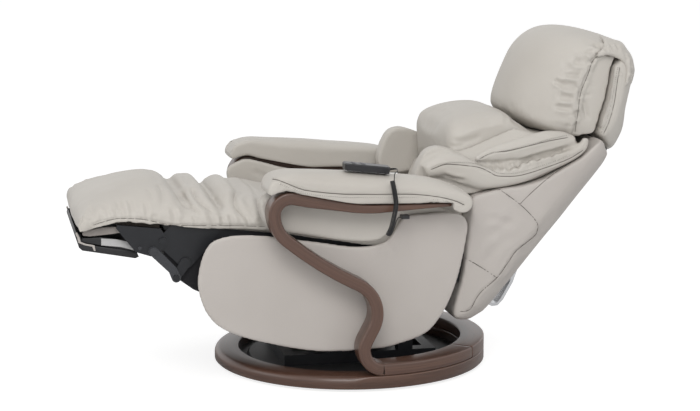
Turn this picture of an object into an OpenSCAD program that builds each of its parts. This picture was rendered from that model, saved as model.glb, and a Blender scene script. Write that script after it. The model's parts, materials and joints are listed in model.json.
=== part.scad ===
// Reclining relax chair on a wooden ring base: swivel base, bentwood arms,
// power seat with folding legrest, reclining back and tilting headrest.
// Millimetres. X- is the front, X+ the rear, Y- the sitter's left, Z up.
// Origin on the floor at the centre of the ring. Drawn reclined, legrest out.

/* [Base] */
// Outer diameter of the wooden base ring
ring_d = 750; // [700:5:800]
// Radial width of the ring and of the bentwood arms
ring_w = 66; // [56:1:72]
// Height of the lower ring
ring_h = 34; // [26:1:42]
// Gap between the floor and the ring
ring_gap = 8; // [6:1:14]
// Diameter of the floor plate that the chair turns on
floor_d = 540; // [480:5:580]
// Diameter of the ball track
track_d = 300; // [240:5:360]
// Diameter of a bearing ball
ball_d = 8; // [6:0.5:10]

/* [Bentwood arms] */
// Thickness of the bent wood
bow_t = 32; // [24:1:38]
// Radius of the bend above the foot
heel_r = 52; // [44:1:60]
// Radius of the belly of the S
belly_r = 85; // [75:1:95]
// Radius of the scroll at the front of the armrest
scroll_r = 42; // [36:1:48]
// Length of the straight rail under the arm pad
rail_len = 190; // [160:5:230]
// Height of the arm pad above the rail
pad_h = 90; // [70:1:110]
// Width of the arm pad
pad_w = 112; // [100:1:122]
// Distance from the side panel to the wood of the arm
arm_off = 14; // [10:0.5:20]

/* [Seat] */
// Rear-down tilt of the seat at rest, in degrees
seat_tilt = 7; // [4:0.5:9]
// Half the width of the seat cushion
seat_hw = 258; // [246:1:262]
// Distance from the seat pivot to the legrest pivot
thigh_len = 485; // [470:1:500]
// Height of the seat pivot above the floor
pivot_z = 345; // [330:1:360]
// Diameter of the seat and back pivot pins
pin_d = 16; // [12:0.5:18]
// Thickness of the steel plates and links
plate_t = 5; // [4:0.25:6]
// Depth of the seat frame rails
rail_h = 32; // [26:1:36]
// Number of zigzag springs
spring_n = 5; // [3:1:7]
// Thickness of the foot tray
tray_t = 4; // [3:0.25:6]

/* [Back] */
// Angle of the back from the vertical at rest, in degrees
back_lean = 40; // [36:0.5:44]
// Half the width of the back
back_hw = 262; // [250:1:264]
// Gap between the back and the inner arm panels
side_gap = 6; // [4:0.5:9]
// Half the width of the headrest
head_hw = 215; // [195:1:235]
// Depth of the back from its front edge to its rear skin
back_depth = 258; // [250:1:280]
// Length of the rear handle
handle_len = 150; // [120:5:180]

/* [Handset] */
// Length of the handset
handset_len = 124; // [100:1:140]
// Width of the handset
handset_w = 50; // [44:1:56]
// Thickness of the handset
handset_t = 18; // [15:0.5:22]
// Outer diameter of the curly cord
curl_d = 13; // [11:0.5:15]

/* [Fits] */
// Clearance between parts that move past each other
gap = 0.6; // [0.4:0.1:1]
// Radial clearance of a pin in its bore
run = 0.05; // [0.02:0.01:0.08]

/* [Hidden] */
$fn = 64;

walnut = [0.37, 0.26, 0.22];
leather = [0.76, 0.73, 0.69];
leather_dark = [0.70, 0.67, 0.63];
steel = [0.13, 0.13, 0.14];
alu = [0.72, 0.73, 0.75];

// Base heights and radii
ring_r = ring_d / 2;
ring_in = ring_r - ring_w;
ring_top = ring_gap + ring_h;
glide_h = 2;
floor_t = 3;
race_h = 7;
race_w = 24;
race_z = glide_h + floor_t;
disc_t = 3;
disc_z = race_z + race_h * 2 + gap;
rebate = 14;
foot_end = 40;

// Sideways layout: moving seat inside, fixed panels outside it
side_in = max(seat_hw, back_hw) + side_gap;
inner_t = 12.5;
panel_in = side_in + inner_t + 0.5;
panel_t = 14;
arm_in = panel_in + panel_t + arm_off;
arm_mid = arm_in + ring_w / 2;
arm_out = arm_in + ring_w;
plate_in = seat_hw - 27;
link_in = plate_in + plate_t + 1;
rod_in = link_in + plate_t + 1;
rail_in = plate_in - 26;
rail_mid = plate_in - 13;
mid_hw = back_hw - 74;

// Seat frame, in the seat's own axes: origin at the seat pivot, X along the seat
seat_x = -60;
rail_z = 4;
seat_z = rail_z + rail_h + 0.3;
legs_a = [-thigh_len, -7];
legs_c = legs_a + [-22, -28];
crank_f = legs_a + [65, -53];
crank_k = legs_a + [45, -93];
back_p = [245, 15];
back_rod = [85, -75];
motor_f = [-170, -70];

// Back, in the back's own axes: origin at the recline pivot, Z up the back
head_p = [back_depth - 24, 524];

// World position of a point of the seat's axes
function seat_pt(p) = [seat_x + p.x * cos(seat_tilt) + p.y * sin(seat_tilt),
    pivot_z - p.x * sin(seat_tilt) + p.y * cos(seat_tilt)];
back_o = seat_pt(back_p);
// World position of a point of the back's axes
function back_pt(p) = [back_o.x + p.x * cos(back_lean) + p.y * sin(back_lean),
    back_o.y - p.x * sin(back_lean) + p.y * cos(back_lean)];

// A bent line: each segment is [turn in degrees, radius], or [0, length].
// Gives a list of [x, z, heading].
function arc_end(p, t, r) = let(s = sign(t), h = p.z)
    [p.x + s * r * (sin(h + t) - sin(h)), p.y - s * r * (cos(h + t) - cos(h)), h + t];
function seg_end(p, s) = s[0] == 0 ? [p.x + s[1] * cos(p.z), p.y + s[1] * sin(p.z), p.z]
    : arc_end(p, s[0], s[1]);
function seg_pts(p, s) = s[0] == 0 ? [p]
    : let(n = max(2, ceil(abs(s[0]) / 7))) [for (i = [0:n - 1]) arc_end(p, s[0] * i / n, s[1])];
function bend(p, segs, i = 0) = i == len(segs) ? [p]
    : concat(seg_pts(p, segs[i]), bend(seg_end(p, segs[i]), segs, i + 1));
function last(v) = v[len(v) - 1];
// A closed band of thickness t along a bent line, thinned towards its end by e
function band(c, t, e = 0) = let(n = len(c) - 1) concat(
    [for (i = [0:n]) let(w = i == n ? t / 2 - e : t / 2)
        [c[i].x - w * sin(c[i].z), c[i].y + w * cos(c[i].z)]],
    [for (i = [n:-1:0]) let(w = i == n ? t / 2 - e : t / 2)
        [c[i].x + w * sin(c[i].z), c[i].y - w * cos(c[i].z)]]);

// A smooth closed outline through a few points
function cr(a, b, c, d, t) = 0.5 * (2 * b + (c - a) * t + (2 * a - 5 * b + 4 * c - d) * t * t
    + (3 * b - a - 3 * c + d) * t * t * t);
function smooth(p, k = 4) = let(n = len(p)) [for (i = [0:n - 1]) for (j = [0:k - 1])
    cr(p[(i + n - 1) % n], p[i], p[(i + 1) % n], p[(i + 2) % n], j / k)];

// The S of the arm, from the foot on the ring up to the rear tip of the rail
bow_start = [15, ring_top + bow_t / 2, 180];
bow_line = bend(bow_start, [[-118, heel_r], [0, 38], [91, belly_r], [0, 12], [-13, 950],
    [-50, 88], [-102, scroll_r], [0, 130], [12, 450], [0, rail_len - 26], [0, 26]]);
rail_end = last(bow_line);
rail_top = rail_end.y + bow_t / 2;
scroll_x = min([for (p = bow_line) p.x]);
pad_out = arm_mid + pad_w / 2 - 9;
pad_in = side_in;

// Curly cord beside the left arm and its thin ends
coil_y = -402;
coil_pts = [[27, coil_y, 560], [33, coil_y, 530], [37, coil_y, 498], [32, coil_y, 468],
    [25, coil_y, 440], [16, coil_y, 420]];
lead_pts = [[35.5, -335, 579], [43, -340, 581], [48, -356, 583], [46, -374, 581],
    [38, -390, 577], [30, -399, 573], [26, coil_y, 565], [27, coil_y, 560]];
tail_pts = [[16, coil_y, 420], [13.7, coil_y, 415], [14, -401, 409], [21, -397, 406], [31, -388, 414],
    [40, -378, 430], [47, -370, 445], [52, -364, 454], [56, -362, 457.5], [59.9, -362, 457.5]];

// ---- helpers ----

module at_seat() {
    translate([seat_x, 0, pivot_z])
        rotate([0, seat_tilt, 0])
            children();
}

module at_back() {
    translate([back_o.x, 0, back_o.y])
        rotate([0, back_lean, 0])
            children();
}

// An XZ outline given depth along Y, from y0 to y1
module across(y0, y1) {
    translate([0, y1, 0])
        rotate([90, 0, 0])
            linear_extrude(height = y1 - y0)
                children();
}

// The same on both sides of the middle
module both_sides(y0, y1) {
    across(y0, y1)
        children();
    across(-y1, -y0)
        children();
}

// A plump side panel: full outline in the middle, shrunk by r at both faces
module plump(pts, y0, y1, r) {
    across(y0 + r, y1 - r)
        polygon(pts);
    across(y0, y1)
        offset(delta = -r)
            polygon(pts);
}

// A pin along Y
module pin(p, r, y0, y1) {
    translate([p.x, y1, p.y])
        rotate([90, 0, 0])
            cylinder(r = r, h = y1 - y0);
}

module pin_both(p, r, y0, y1) {
    pin(p, r, y0, y1);
    pin(p, r, -y1, -y0);
}

// A box given by its two corners
module block(a, b) {
    translate(a)
        cube(b - a);
}

// Points of one ring of a swept tube
function ring_of(c, d, r, n) = let(u = cross(d, [1, 0.001, 0]),
    v = norm(u) > 0.1 ? u : cross(d, [0, 0, 1]),
    e = v / norm(v), f = cross(d, e))
    [for (i = [0:n - 1]) c + r * (cos(360 * i / n) * e + sin(360 * i / n) * f)];
function unit(v) = v / norm(v);

// A tube swept along points, closed at both ends
module tube(p, r, n) {
    m = len(p);
    dirs = [for (i = [0:m - 1]) unit(p[min(i + 1, m - 1)] - p[max(i - 1, 0)])];
    pts = [for (i = [0:m - 1]) each ring_of(p[i], dirs[i], r, n)];
    sides = [for (i = [0:m - 2]) for (j = [0:n - 1])
        [i * n + j, i * n + (j + 1) % n, (i + 1) * n + (j + 1) % n, (i + 1) * n + j]];
    ends = [[for (j = [n - 1:-1:0]) j], [for (j = [0:n - 1]) (m - 1) * n + j]];
    polyhedron(points = pts, faces = concat(sides, ends));
}

// Smooth open path through points
function path(p, k = 4) = let(n = len(p)) concat([for (i = [0:n - 2]) for (j = [0:k - 1])
    cr(p[max(i - 1, 0)], p[i], p[i + 1], p[min(i + 2, n - 1)], j / k)], [p[n - 1]]);

// ---- swivel base ----

// Steel plate that stays still on the floor
module floor_plate() {
    color(steel)
        translate([0, 0, glide_h])
            cylinder(d = floor_d, h = floor_t, $fn = 128);
}

// Flat rubber ring and centre pad under the floor plate
module floor_glide() {
    color([0.08, 0.08, 0.08]) {
        rotate_extrude($fn = 128)
            translate([floor_d / 2 - 30, 0])
                square([26, glide_h]);
        cylinder(r = 40, h = glide_h);
    }
}

module race_profile(z) {
    difference() {
        translate([track_d / 2 - race_w / 2, z])
            square([race_w, race_h]);
        translate([track_d / 2, race_z + race_h + gap / 2])
            circle(d = ball_d + gap);
    }
}

module race_lower() {
    color([0.55, 0.56, 0.58])
        rotate_extrude($fn = 128)
            race_profile(race_z);
}

module race_upper() {
    color([0.5, 0.51, 0.53])
        rotate_extrude($fn = 128)
            race_profile(race_z + race_h + gap);
}

module bearing_balls() {
    color([0.8, 0.8, 0.82])
        for (i = [0:19])
            rotate([0, 0, i * 18])
                translate([track_d / 2, 0, race_z + race_h + gap / 2 - (gap / 2 - 0.02)])
                    sphere(d = ball_d, $fn = 24);
}

// Dished steel disc inside the ring; its rim sits in the ring's rebate
module turn_disc() {
    rim_r = ring_in + rebate - 0.4;
    rim_z = ring_gap + 8;
    color([0.16, 0.16, 0.17])
        rotate_extrude($fn = 128)
            polygon([[40, disc_z], [track_d / 2 + race_w, disc_z], [floor_d / 2 + 6, disc_z],
                [floor_d / 2 + 12, rim_z - disc_t], [rim_r, rim_z - disc_t], [rim_r, rim_z],
                [floor_d / 2 + 15, rim_z], [floor_d / 2 + 9, disc_z + disc_t],
                [40, disc_z + disc_t]]);
}

// Lower ring: rounded outer edge in front, square under the upper arc and the feet
module base_ring() {
    round_r = min(16, ring_h / 2);
    rim_z = ring_gap + 8;
    color(walnut)
        union() {
            rotate_extrude($fn = 160)
                polygon(concat([[ring_in, rim_z], [ring_in + rebate, rim_z],
                    [ring_in + rebate, ring_gap], [ring_r - 3, ring_gap], [ring_r, ring_gap + 3]],
                    [for (a = [0:15:90]) [ring_r - round_r + round_r * cos(a),
                        ring_top - round_r + round_r * sin(a)]],
                    [[ring_in + 3, ring_top], [ring_in, ring_top - 3]]));
            rotate([0, 0, -98])
                rotate_extrude(angle = 196, $fn = 160)
                    translate([ring_in + rebate + 2, ring_gap + 10])
                        square([ring_w - rebate - 2, ring_h - 10]);
        }
}

// Upper arc round the rear, butted between the two feet
module rear_arc() {
    color(walnut)
        rotate([0, 0, -foot_end])
            rotate_extrude(angle = 2 * foot_end, $fn = 160)
                translate([arm_in, ring_top])
                    square([ring_w, bow_t]);
}

// ---- bentwood arms ----

module bow(s) {
    mirror([0, s > 0 ? 1 : 0, 0])
        union() {
            across(-arm_out, -arm_in)
                polygon(band(bow_line, bow_t, 9));
            rotate([0, 0, -90])
                rotate_extrude(angle = 90 - foot_end - 0.02, $fn = 160)
                    translate([arm_in, ring_top])
                        square([ring_w, bow_t]);
        }
}

module bow_left() {
    color(walnut)
        bow(-1);
}

module bow_right() {
    color(walnut)
        bow(1);
}

// Padded armrest on the rail, high in front and falling away to the rear
module arm_pad(s) {
    x0 = scroll_x - 10;
    x1 = rail_end.x + 70;
    z0 = rail_top;
    lift = bow_line[len(bow_line) - 5].y - rail_end.y;
    pts = smooth([[x0 + 30, z0 + lift + 4], [x0, z0 + 34], [x0 + 14, z0 + pad_h - 18],
        [x0 + 62, z0 + pad_h + 1], [x0 + 160, z0 + pad_h - 4], [x0 + 310, z0 + pad_h - 18],
        [x1 - 130, z0 + pad_h - 28], [x1 - 62, z0 + pad_h - 52], [x1 - 8, z0 + 14],
        [x1 - 8, z0 - 22], [x1 - 34, z0 - 32], [rail_end.x + 10, z0 - 16],
        [rail_end.x - 20, z0 + 0.6], [rail_end.x - 120, z0 + 0.6], [x0 + 190, z0 + 4],
        [x0 + 110, z0 + lift - 6]], 4);
    color(leather)
        mirror([0, s > 0 ? 1 : 0, 0])
            difference() {
                hull() {
                    across(-pad_out + 12, -pad_in - 12)
                        polygon(pts);
                    across(-pad_out, -pad_in)
                        offset(delta = -14)
                            polygon(pts);
                }
                across(-pad_out - 1, -pad_in + 1)
                    polygon(concat([for (p = bow_line) if (p.z < 20 && p.z > -60) [p.x, p.y] +
                        (bow_t / 2 + 0.2) * [-sin(p.z), cos(p.z)]],
                        [[rail_end.x + 3, rail_end.y - 60], [scroll_x - 60, rail_end.y - 60],
                            [scroll_x - 60, rail_top + 14]]));
            }
}

module arm_pad_left() {
    arm_pad(-1);
}

module arm_pad_right() {
    arm_pad(1);
}

// Upholstered panel between the arm pad and the seat; above the side panel it is as
// deep as the gap to the wood
module arm_inner(s) {
    color(leather)
        mirror([0, s > 0 ? 1 : 0, 0]) {
            plump(smooth([[scroll_x - 28, rail_top + 8], [scroll_x - 28, rail_top - 24],
                [scroll_x - 12, rail_top - 64], [scroll_x + 14, rail_top - 84],
                [scroll_x + 180, rail_top - 122], [scroll_x + 280, rail_top - 136],
                [scroll_x + 400, rail_top - 128],
                [rail_end.x + 44, rail_top - 74], [rail_end.x + 30, rail_top - 46],
                [rail_end.x - 18, rail_top - 28], [rail_end.x - 44, rail_top - 10],
                [scroll_x + 180, rail_top - 9]], 3),
                -side_in - inner_t, -side_in, 2);
            plump(smooth([[scroll_x - 27, rail_top + 6], [scroll_x - 27, rail_top - 24],
                [scroll_x - 11, rail_top - 62], [scroll_x + 16, rail_top - 76],
                [scroll_x + 105, rail_top - 93], [scroll_x + 203, rail_top - 116],
                [scroll_x + 280, rail_top - 116], [scroll_x + 318, rail_top - 86],
                [scroll_x + 340, rail_top - 42], [scroll_x + 360, rail_top - 12],
                [scroll_x + 180, rail_top - 9]], 3),
                -arm_in + 1, -side_in - 3, 3);
        }
}

module arm_inner_left() {
    arm_inner(-1);
}

module arm_inner_right() {
    arm_inner(1);
}

// Big oval upholstered side panel behind the S
module side_panel(s) {
    color(leather_dark)
        mirror([0, s > 0 ? 1 : 0, 0])
            plump(smooth([[-374, 413], [-434, 382], [-460, 300], [-444, 215], [-376, 153],
                [-240, 111], [-100, 91], [30, 92], [130, 117], [200, 185], [238, 290],
                [257, 360], [259, 415], [238, 450], [160, 454], [90, 446], [66, 418],
                [40, 386], [0, 372], [-68, 374], [-141, 387], [-219, 399], [-287, 410]], 4),
                -panel_in - panel_t, -panel_in, 4);
}

module side_panel_left() {
    side_panel(-1);
}

module side_panel_right() {
    side_panel(1);
}

// Distance pieces that hold each arm off its side panel
module arm_spacers() {
    color(steel)
        for (p = [bow_line[10], bow_line[24]])
            pin_both([p.x, p.y], 11, panel_in + panel_t, arm_in);
}

// ---- chassis on the disc ----

chassis_hw = 150;
ear_y = plate_in - 45;
beam_z = 150;
stop_x = 125;
stop_p = seat_pt([190, rail_z]);

// Welded tube frame that carries the seat pivot and the rear stop
module chassis() {
    z0 = disc_z + disc_t;
    color(steel)
        difference() {
            union() {
                for (s = [-1, 1]) {
                    block([-210, s * 130 - 20, z0], [210, s * 130 + 20, z0 + 30]);
                    block([seat_x - 25, s * 130 - 20, z0], [seat_x + 25, s * 130 + 20, pivot_z - 50]);
                    block([stop_x - 20, s * 130 - 20, z0], [stop_x + 20, s * 130 + 20, stop_p.y - 27]);
                    block([seat_x - 25, min(s * 110, s * ear_y), pivot_z - 90],
                        [seat_x + 25, max(s * 110, s * ear_y), pivot_z - 50]);
                }
                both_sides(ear_y - 8, ear_y)
                    polygon([[seat_x - 25, pivot_z - 70], [seat_x + 25, pivot_z - 70],
                        [seat_x + 18, pivot_z + 4], [seat_x + 8, pivot_z + 14],
                        [seat_x - 8, pivot_z + 14], [seat_x - 18, pivot_z + 4]]);
                for (x = [-195, 195])
                    block([x - 15, -130, z0], [x + 15, 130, z0 + 30]);
                block([stop_x - 20, -plate_in + 9, stop_p.y - 27],
                    [stop_x + 20, plate_in - 9, stop_p.y - 12]);
                for (s = [-1, 1])
                    block([stop_x - 16, s * rail_mid - 12, stop_p.y - 14],
                        [stop_x + 16, s * rail_mid + 12, stop_p.y - 1.8]);
            }
            pin([seat_x, pivot_z], pin_d / 2 + run, -300, 300);
        }
}

// Cross beams that carry the side panels and arms
module arm_beams() {
    color(steel)
        for (x = [seat_x, stop_x])
            difference() {
                block([x - 20, -panel_in, beam_z], [x + 20, panel_in, beam_z + 30]);
                for (s = [-1, 1])
                    block([x - 26, s * 130 - 20, beam_z - 5], [x + 26, s * 130 + 20, beam_z + 40]);
            }
}

// Supply and control unit under the seat
module control_box() {
    z0 = disc_z + disc_t;
    color([0.1, 0.1, 0.11])
        difference() {
            block([-20, -70, z0], [80, 70, z0 + 62]);
            for (i = [0:7])
                block([-12 + i * 11, -50, z0 + 58], [-7 + i * 11, 50, z0 + 70]);
        }
}

// Clip under the left rail that takes the tail of the handset cord
module cord_clip() {
    z = rail_top - bow_t;
    color([0.08, 0.08, 0.08])
        block([60, -arm_out + 3, z - 9], [80, -arm_out + 27, z]);
}

module handset_lead() {
    color([0.1, 0.1, 0.1])
        tube(path(lead_pts, 3), 1.6, 8);
}

module curly_cord() {
    color([0.1, 0.1, 0.1])
        tube(path(coil_pts, 3), curl_d / 2, 10);
}

module cord_tail() {
    color([0.1, 0.1, 0.1])
        tube(path(tail_pts, 3), 1.6, 8);
}

// ---- seat ----

module seat_frame() {
    x0 = -thigh_len + 15;
    x1 = back_p.x + 16;
    color([0.25, 0.2, 0.16])
        at_seat()
            difference() {
                union() {
                    for (s = [-1, 1])
                        block([x0, min(s * rail_in, s * plate_in), rail_z],
                            [x1, max(s * rail_in, s * plate_in), rail_z + rail_h]);
                    block([x0, -rail_in, rail_z], [x0 + 28, rail_in, rail_z + rail_h]);
                    block([back_p.x - 60, -rail_in, rail_z],
                        [back_p.x - 32, rail_in, rail_z + rail_h]);
                    for (s = [-1, 1])
                        block([-22, s * rail_mid - 13, -pin_d], [22, s * rail_mid + 13, rail_z]);
                    block([motor_f.x - 15, -rail_in, rail_z], [motor_f.x + 15, rail_in, rail_z + 18]);
                    both_sides(13, 19)
                        polygon([[motor_f.x - 15, rail_z], motor_f + [-12, -4], motor_f + [-6, -12],
                            motor_f + [6, -12], motor_f + [12, -4], [motor_f.x + 15, rail_z]]);
                }
                pin([0, 0], pin_d / 2, -300, 300);
                pin(back_p, pin_d / 2, -300, 300);
                pin(motor_f, 6, -50, 50);
            }
}

// Zigzag springs between the front and the rear cross rail
module seat_springs() {
    x0 = -thigh_len + 43;
    x1 = back_p.x - 60;
    n = 16;
    step = (x1 - x0) / n;
    color([0.3, 0.3, 0.32])
        at_seat()
            for (k = [0:spring_n - 1])
                translate([0, (k - (spring_n - 1) / 2) * 360 / spring_n, rail_z + rail_h - 8])
                    linear_extrude(height = 4)
                        polygon(concat(
                            [for (i = [0:n * 4]) [x0 + step * i / 4, 2 + 16 * sin(i * 90)]],
                            [for (i = [n * 4:-1:0]) [x0 + step * i / 4, -2 + 16 * sin(i * 90)]]));
}

// Seat shaft and the two recline pins
module pivot_pins() {
    color(alu)
        at_seat() {
            pin([0, 0], pin_d / 2, -plate_in, plate_in);
            pin_both(back_p, pin_d / 2, rail_in, link_in + plate_t + 3);
            pin(motor_f, 6, -21, 21);
        }
}

// Steel plates on the rails that carry the legrest pivot and the crank shaft
module hanger_plates() {
    color(steel) {
        hinge_bolts();
        at_seat()
            difference() {
                both_sides(plate_in, plate_in + plate_t)
                    polygon([legs_a + [-12, -12], legs_a + [-15, 6], legs_a + [0, 18],
                        [-thigh_len + 20, rail_z + rail_h], [-thigh_len + 150, rail_z + rail_h],
                        [-thigh_len + 120, rail_z - 20], crank_f + [16, -10],
                        crank_f + [0, -18], crank_f + [-15, -8]]);
                pin(crank_f, 8 + run, -300, 300);
                pin(legs_a, 6, -300, 300);
            }
    }
}

module seat_cushion() {
    color(leather)
        at_seat()
            hull() {
                across(-seat_hw + 18, seat_hw - 18)
                    polygon(seat_outline(0));
                across(-seat_hw, seat_hw)
                    polygon(seat_outline(16));
            }
}

function seat_outline(r) = let(x0 = -thigh_len + 101, z = seat_z)
    [[x0 + r / 3, z + r], [x0 + r / 3, z + 76 - r], [x0 + 16, z + 100 - r], [x0 + 40, z + 107 - r],
    [x0 + 70, z + 106 - r], [x0 + 190, z + 96 - r], [x0 + 330, z + 78 - r],
    [x0 + 470, z + 56 - r], [x0 + 560, z + 44 - r], [x0 + 582 - r / 3, z + 26],
    [x0 + 582 - r / 3, z + r / 2], [x0 + 560, z]];

// Dark cover in front of the drive, open at the top
module seat_apron() {
    a = legs_a;
    outer = [a + [9, 8], a + [8, -50], a + [22, -76], a + [52, -99], a + [96, -124],
        a + [155, -143], a + [190, -143], a + [190, -120], a + [190, 8]];
    color([0.12, 0.12, 0.13])
        at_seat()
            difference() {
                across(-plate_in + 3, plate_in - 3)
                    polygon(outer);
                across(-plate_in + 9, plate_in - 9)
                    polygon([a + [14, 20], a + [14, -48], a + [27, -71], a + [55, -93],
                        a + [98, -118], a + [156, -137], a + [200, -137], a + [200, 20]]);
                pin(crank_f, 9, -300, 300);
                block([-thigh_len + 14, -300, rail_z - 0.5], [0, 300, rail_z + 60]);
            }
}

// Geared drive of the legrest round the crank shaft
module legrest_motor() {
    color([0.2, 0.2, 0.21])
        at_seat()
            difference() {
                union() {
                    pin(crank_f, 30, -60, 60);
                    block([crank_f.x - 45, -30, crank_f.y], [crank_f.x + 26, 30, rail_z]);
                    pin(crank_f, 24, 60, 130);
                }
                pin(crank_f, 8 + run, -300, 300);
            }
}

// ---- legrest ----

board_z = 24;
board_t = 12;

module legrest_board() {
    color([0.2, 0.17, 0.14])
        at_seat()
            block([-thigh_len - 207, -plate_in + 6, board_z],
                [-thigh_len - 10, plate_in - 6, board_z + board_t]);
}

// Side brackets with the hinge eye and the pushrod eye
module legrest_brackets() {
    color(steel)
        at_seat()
            difference() {
                union() {
                    both_sides(link_in, link_in + plate_t)
                        polygon([legs_a + [12, -10], legs_a + [15, 4], legs_a + [6, 14],
                            legs_a + [-8, 31], [-thigh_len - 120, board_z],
                            [-thigh_len - 122, board_z - 9], legs_a + [-66, -35],
                            legs_a + [-26, -43], legs_a + [-14, -40]]);
                    for (s = [-1, 1])
                        block([-thigh_len - 120, min(s * (plate_in - 41), s * (link_in + plate_t)),
                                board_z - plate_t],
                            [-thigh_len - 10, max(s * (plate_in - 41), s * (link_in + plate_t)),
                                board_z]);
                }
                pin(legs_a, 6 + run, -300, 300);
                pin(legs_c, 4, -300, 300);
            }
}

// Hinge bolts in the hanger plates' eyes and stub bolts at the pushrod ends
module legrest_bolts() {
    color([0.2, 0.2, 0.21])
        at_seat() {
            pin_both(legs_c, 4, link_in, rod_in + plate_t + 1);
            pin_both(legs_c, 10, rod_in + plate_t + 1, rod_in + plate_t + 5);
            pin_both(legs_a + [-57, -23], 5, link_in + plate_t, link_in + plate_t + 4);
        }
}

// Hinge pins of the legrest, fixed in the hanger plates
module hinge_bolts() {
    at_seat() {
        pin_both(legs_a, 6, plate_in - 6, link_in + plate_t + 1);
        pin_both(legs_a, 9, link_in + plate_t + 1, link_in + plate_t + 5);
    }
}

function legs_outline(r) = let(x = -thigh_len, z = seat_z)
    [[x + 99 - r / 3, z + 1 + r], [x + 99 - r / 3, z + 72 - r], [x + 84, z + 94 - r],
    [x + 55, z + 102 - r], [x + 17, z + 86 - r], [x - 9, z + 99 - r], [x - 34, z + 103 - r],
    [x - 104, z + 90 - r], [x - 165, z + 62 - r], [x - 218 + r / 3, z + 31 - r],
    [x - 232 + r / 2, z - 30], [x - 227 + r / 2, z - 42], [x - 208, z - 38],
    [x - 208, board_z + board_t + r / 2], [x - 9, board_z + board_t + r / 2], [x + 5, z + 1 + r]];

module legrest_cushion() {
    color(leather)
        at_seat() {
            across(-link_in - plate_t, link_in + plate_t)
                polygon(legs_outline(0));
            across(-seat_hw, seat_hw)
                polygon(legs_outline(12));
        }
}

// Slide rails of the foot tray under the board
module tray_runners() {
    color([0.3, 0.3, 0.32])
        at_seat()
            for (s = [-1, 1])
                difference() {
                    block([-thigh_len - 205, s * 110 - 14, board_z - 12],
                        [-thigh_len - 75, s * 110 + 14, board_z]);
                    block([-thigh_len - 260, s * 110 - 9, board_z - 9],
                        [-thigh_len + 5, s * 110 + 9, board_z - 3]);
                    block([-thigh_len - 260, s * 110 - 4, board_z - 20],
                        [-thigh_len + 5, s * 110 + 4, board_z - 6]);
                }
}

// Foot tray that slides out in front, with a raised lip and ribs
module foot_tray() {
    x = -thigh_len;
    color([0.09, 0.09, 0.1])
        at_seat()
            union() {
                difference() {
                    across(-rail_in, rail_in)
                        polygon([[x - 220, -12], [x - 222, -20], [x - 208, -44], [x - 200, -48],
                            [x - 72, -53], [x - 66, -49], [x - 72, -40], [x - 196, -36], [x - 214, -10]]);
                    across(-rail_in + tray_t, rail_in - tray_t)
                        polygon([[x - 214, -5], [x - 213, -19], [x - 203, -39], [x - 198, -43.5],
                            [x - 76, -53 + tray_t + 0.6], [x - 60, -44], [x - 60, -5]]);
                }
                for (i = [0:8])
                    translate([0, (i - 4) * (rail_in - 21) / 4, 0])
                        across(-1.5, 1.5)
                            polygon([[x - 214, -18], [x - 203, -40], [x - 198, -45],
                                [x - 76, -50], [x - 72, -41], [x - 196, -36]]);
                for (s = [-1, 1])
                    difference() {
                        block([x - 155, s * 110 - 3.4, -46], [x - 80, s * 110 + 3.4, board_z - 4]);
                        block([x - 140, s * 110 - 10, -30], [x - 96, s * 110 + 10, board_z - 20]);
                    }
                for (s = [-1, 1])
                    block([x - 155, s * 110 - 8.4, board_z - 8.4], [x - 80, s * 110 + 8.4, board_z - 3.6]);
            }
}

// ---- legrest linkage ----

// Shaft with a crank arm and a knee pin on each side
module crank_shaft() {
    color([0.16, 0.16, 0.17])
        at_seat() {
            pin(crank_f, 8, -link_in - plate_t, link_in + plate_t);
            both_sides(link_in, link_in + plate_t)
                hull() {
                    translate(crank_f)
                        circle(r = 14);
                    translate(crank_k)
                        circle(r = 11);
                }
            pin_both(crank_k, 5, link_in, rod_in + plate_t + 1);
            pin_both(crank_k, 8.5, rod_in + plate_t + 1, rod_in + plate_t + 4);
        }
}

// Pushrods from the knee up to the legrest brackets; the upper eye is wide
module pushrods() {
    color([0.1, 0.1, 0.11])
        at_seat()
            difference() {
                both_sides(rod_in, rod_in + plate_t)
                    union() {
                        hull() {
                            translate(crank_k)
                                circle(r = 12);
                            translate(crank_k + 0.25 * (legs_c - crank_k) + [5, 4])
                                circle(r = 11);
                        }
                        hull() {
                            translate(crank_k + 0.25 * (legs_c - crank_k) + [5, 4])
                                circle(r = 11);
                            translate(legs_c)
                                circle(r = 12.5);
                        }
                    }
                pin(crank_k, 5 + run, -300, 300);
                pin(legs_c, 6.5, -300, 300);
            }
}

// ---- back ----

// Side outline of the padded back shell
shell_pts = [[131, -90], [93, -10], [62, 43], [-12, 158], [-29, 183], [18, 243], [62, 290],
    [99, 341], [117, 385], [141, 446], [150, 505], [152, 520], [back_depth - 46, 520],
    [back_depth - 36, 512], [back_depth - 12, 512], [back_depth - 6, 500],
    [back_depth, 461], [back_depth, -14], [back_depth - 10, -50], [back_depth - 32, -80],
    [back_depth - 66, -95], [160, -100]];

// Rounded plan of the back: full width in front, curved rear corners
function plan_pts(hw, d, f) = concat([[f, -hw], [d - 110, -hw]],
    [for (a = [-80:10:80]) [d - 110 + 110 * cos(a), hw * sin(a)]],
    [[d - 110, hw], [f, hw]]);

module back_shell() {
    color(leather_dark)
        at_back()
            difference() {
                intersection() {
                    across(-back_hw, back_hw)
                        polygon(shell_pts);
                    translate([0, 0, -150])
                        linear_extrude(height = 900)
                            polygon(plan_pts(back_hw, back_depth, -60));
                }
                difference() {
                    block([118, -mid_hw - 2, -60], [back_depth - 50, mid_hw + 2, 300]);
                    block([100, -mid_hw - 12, 210], [135, mid_hw + 12, 320]);
                }
            }
}

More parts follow.
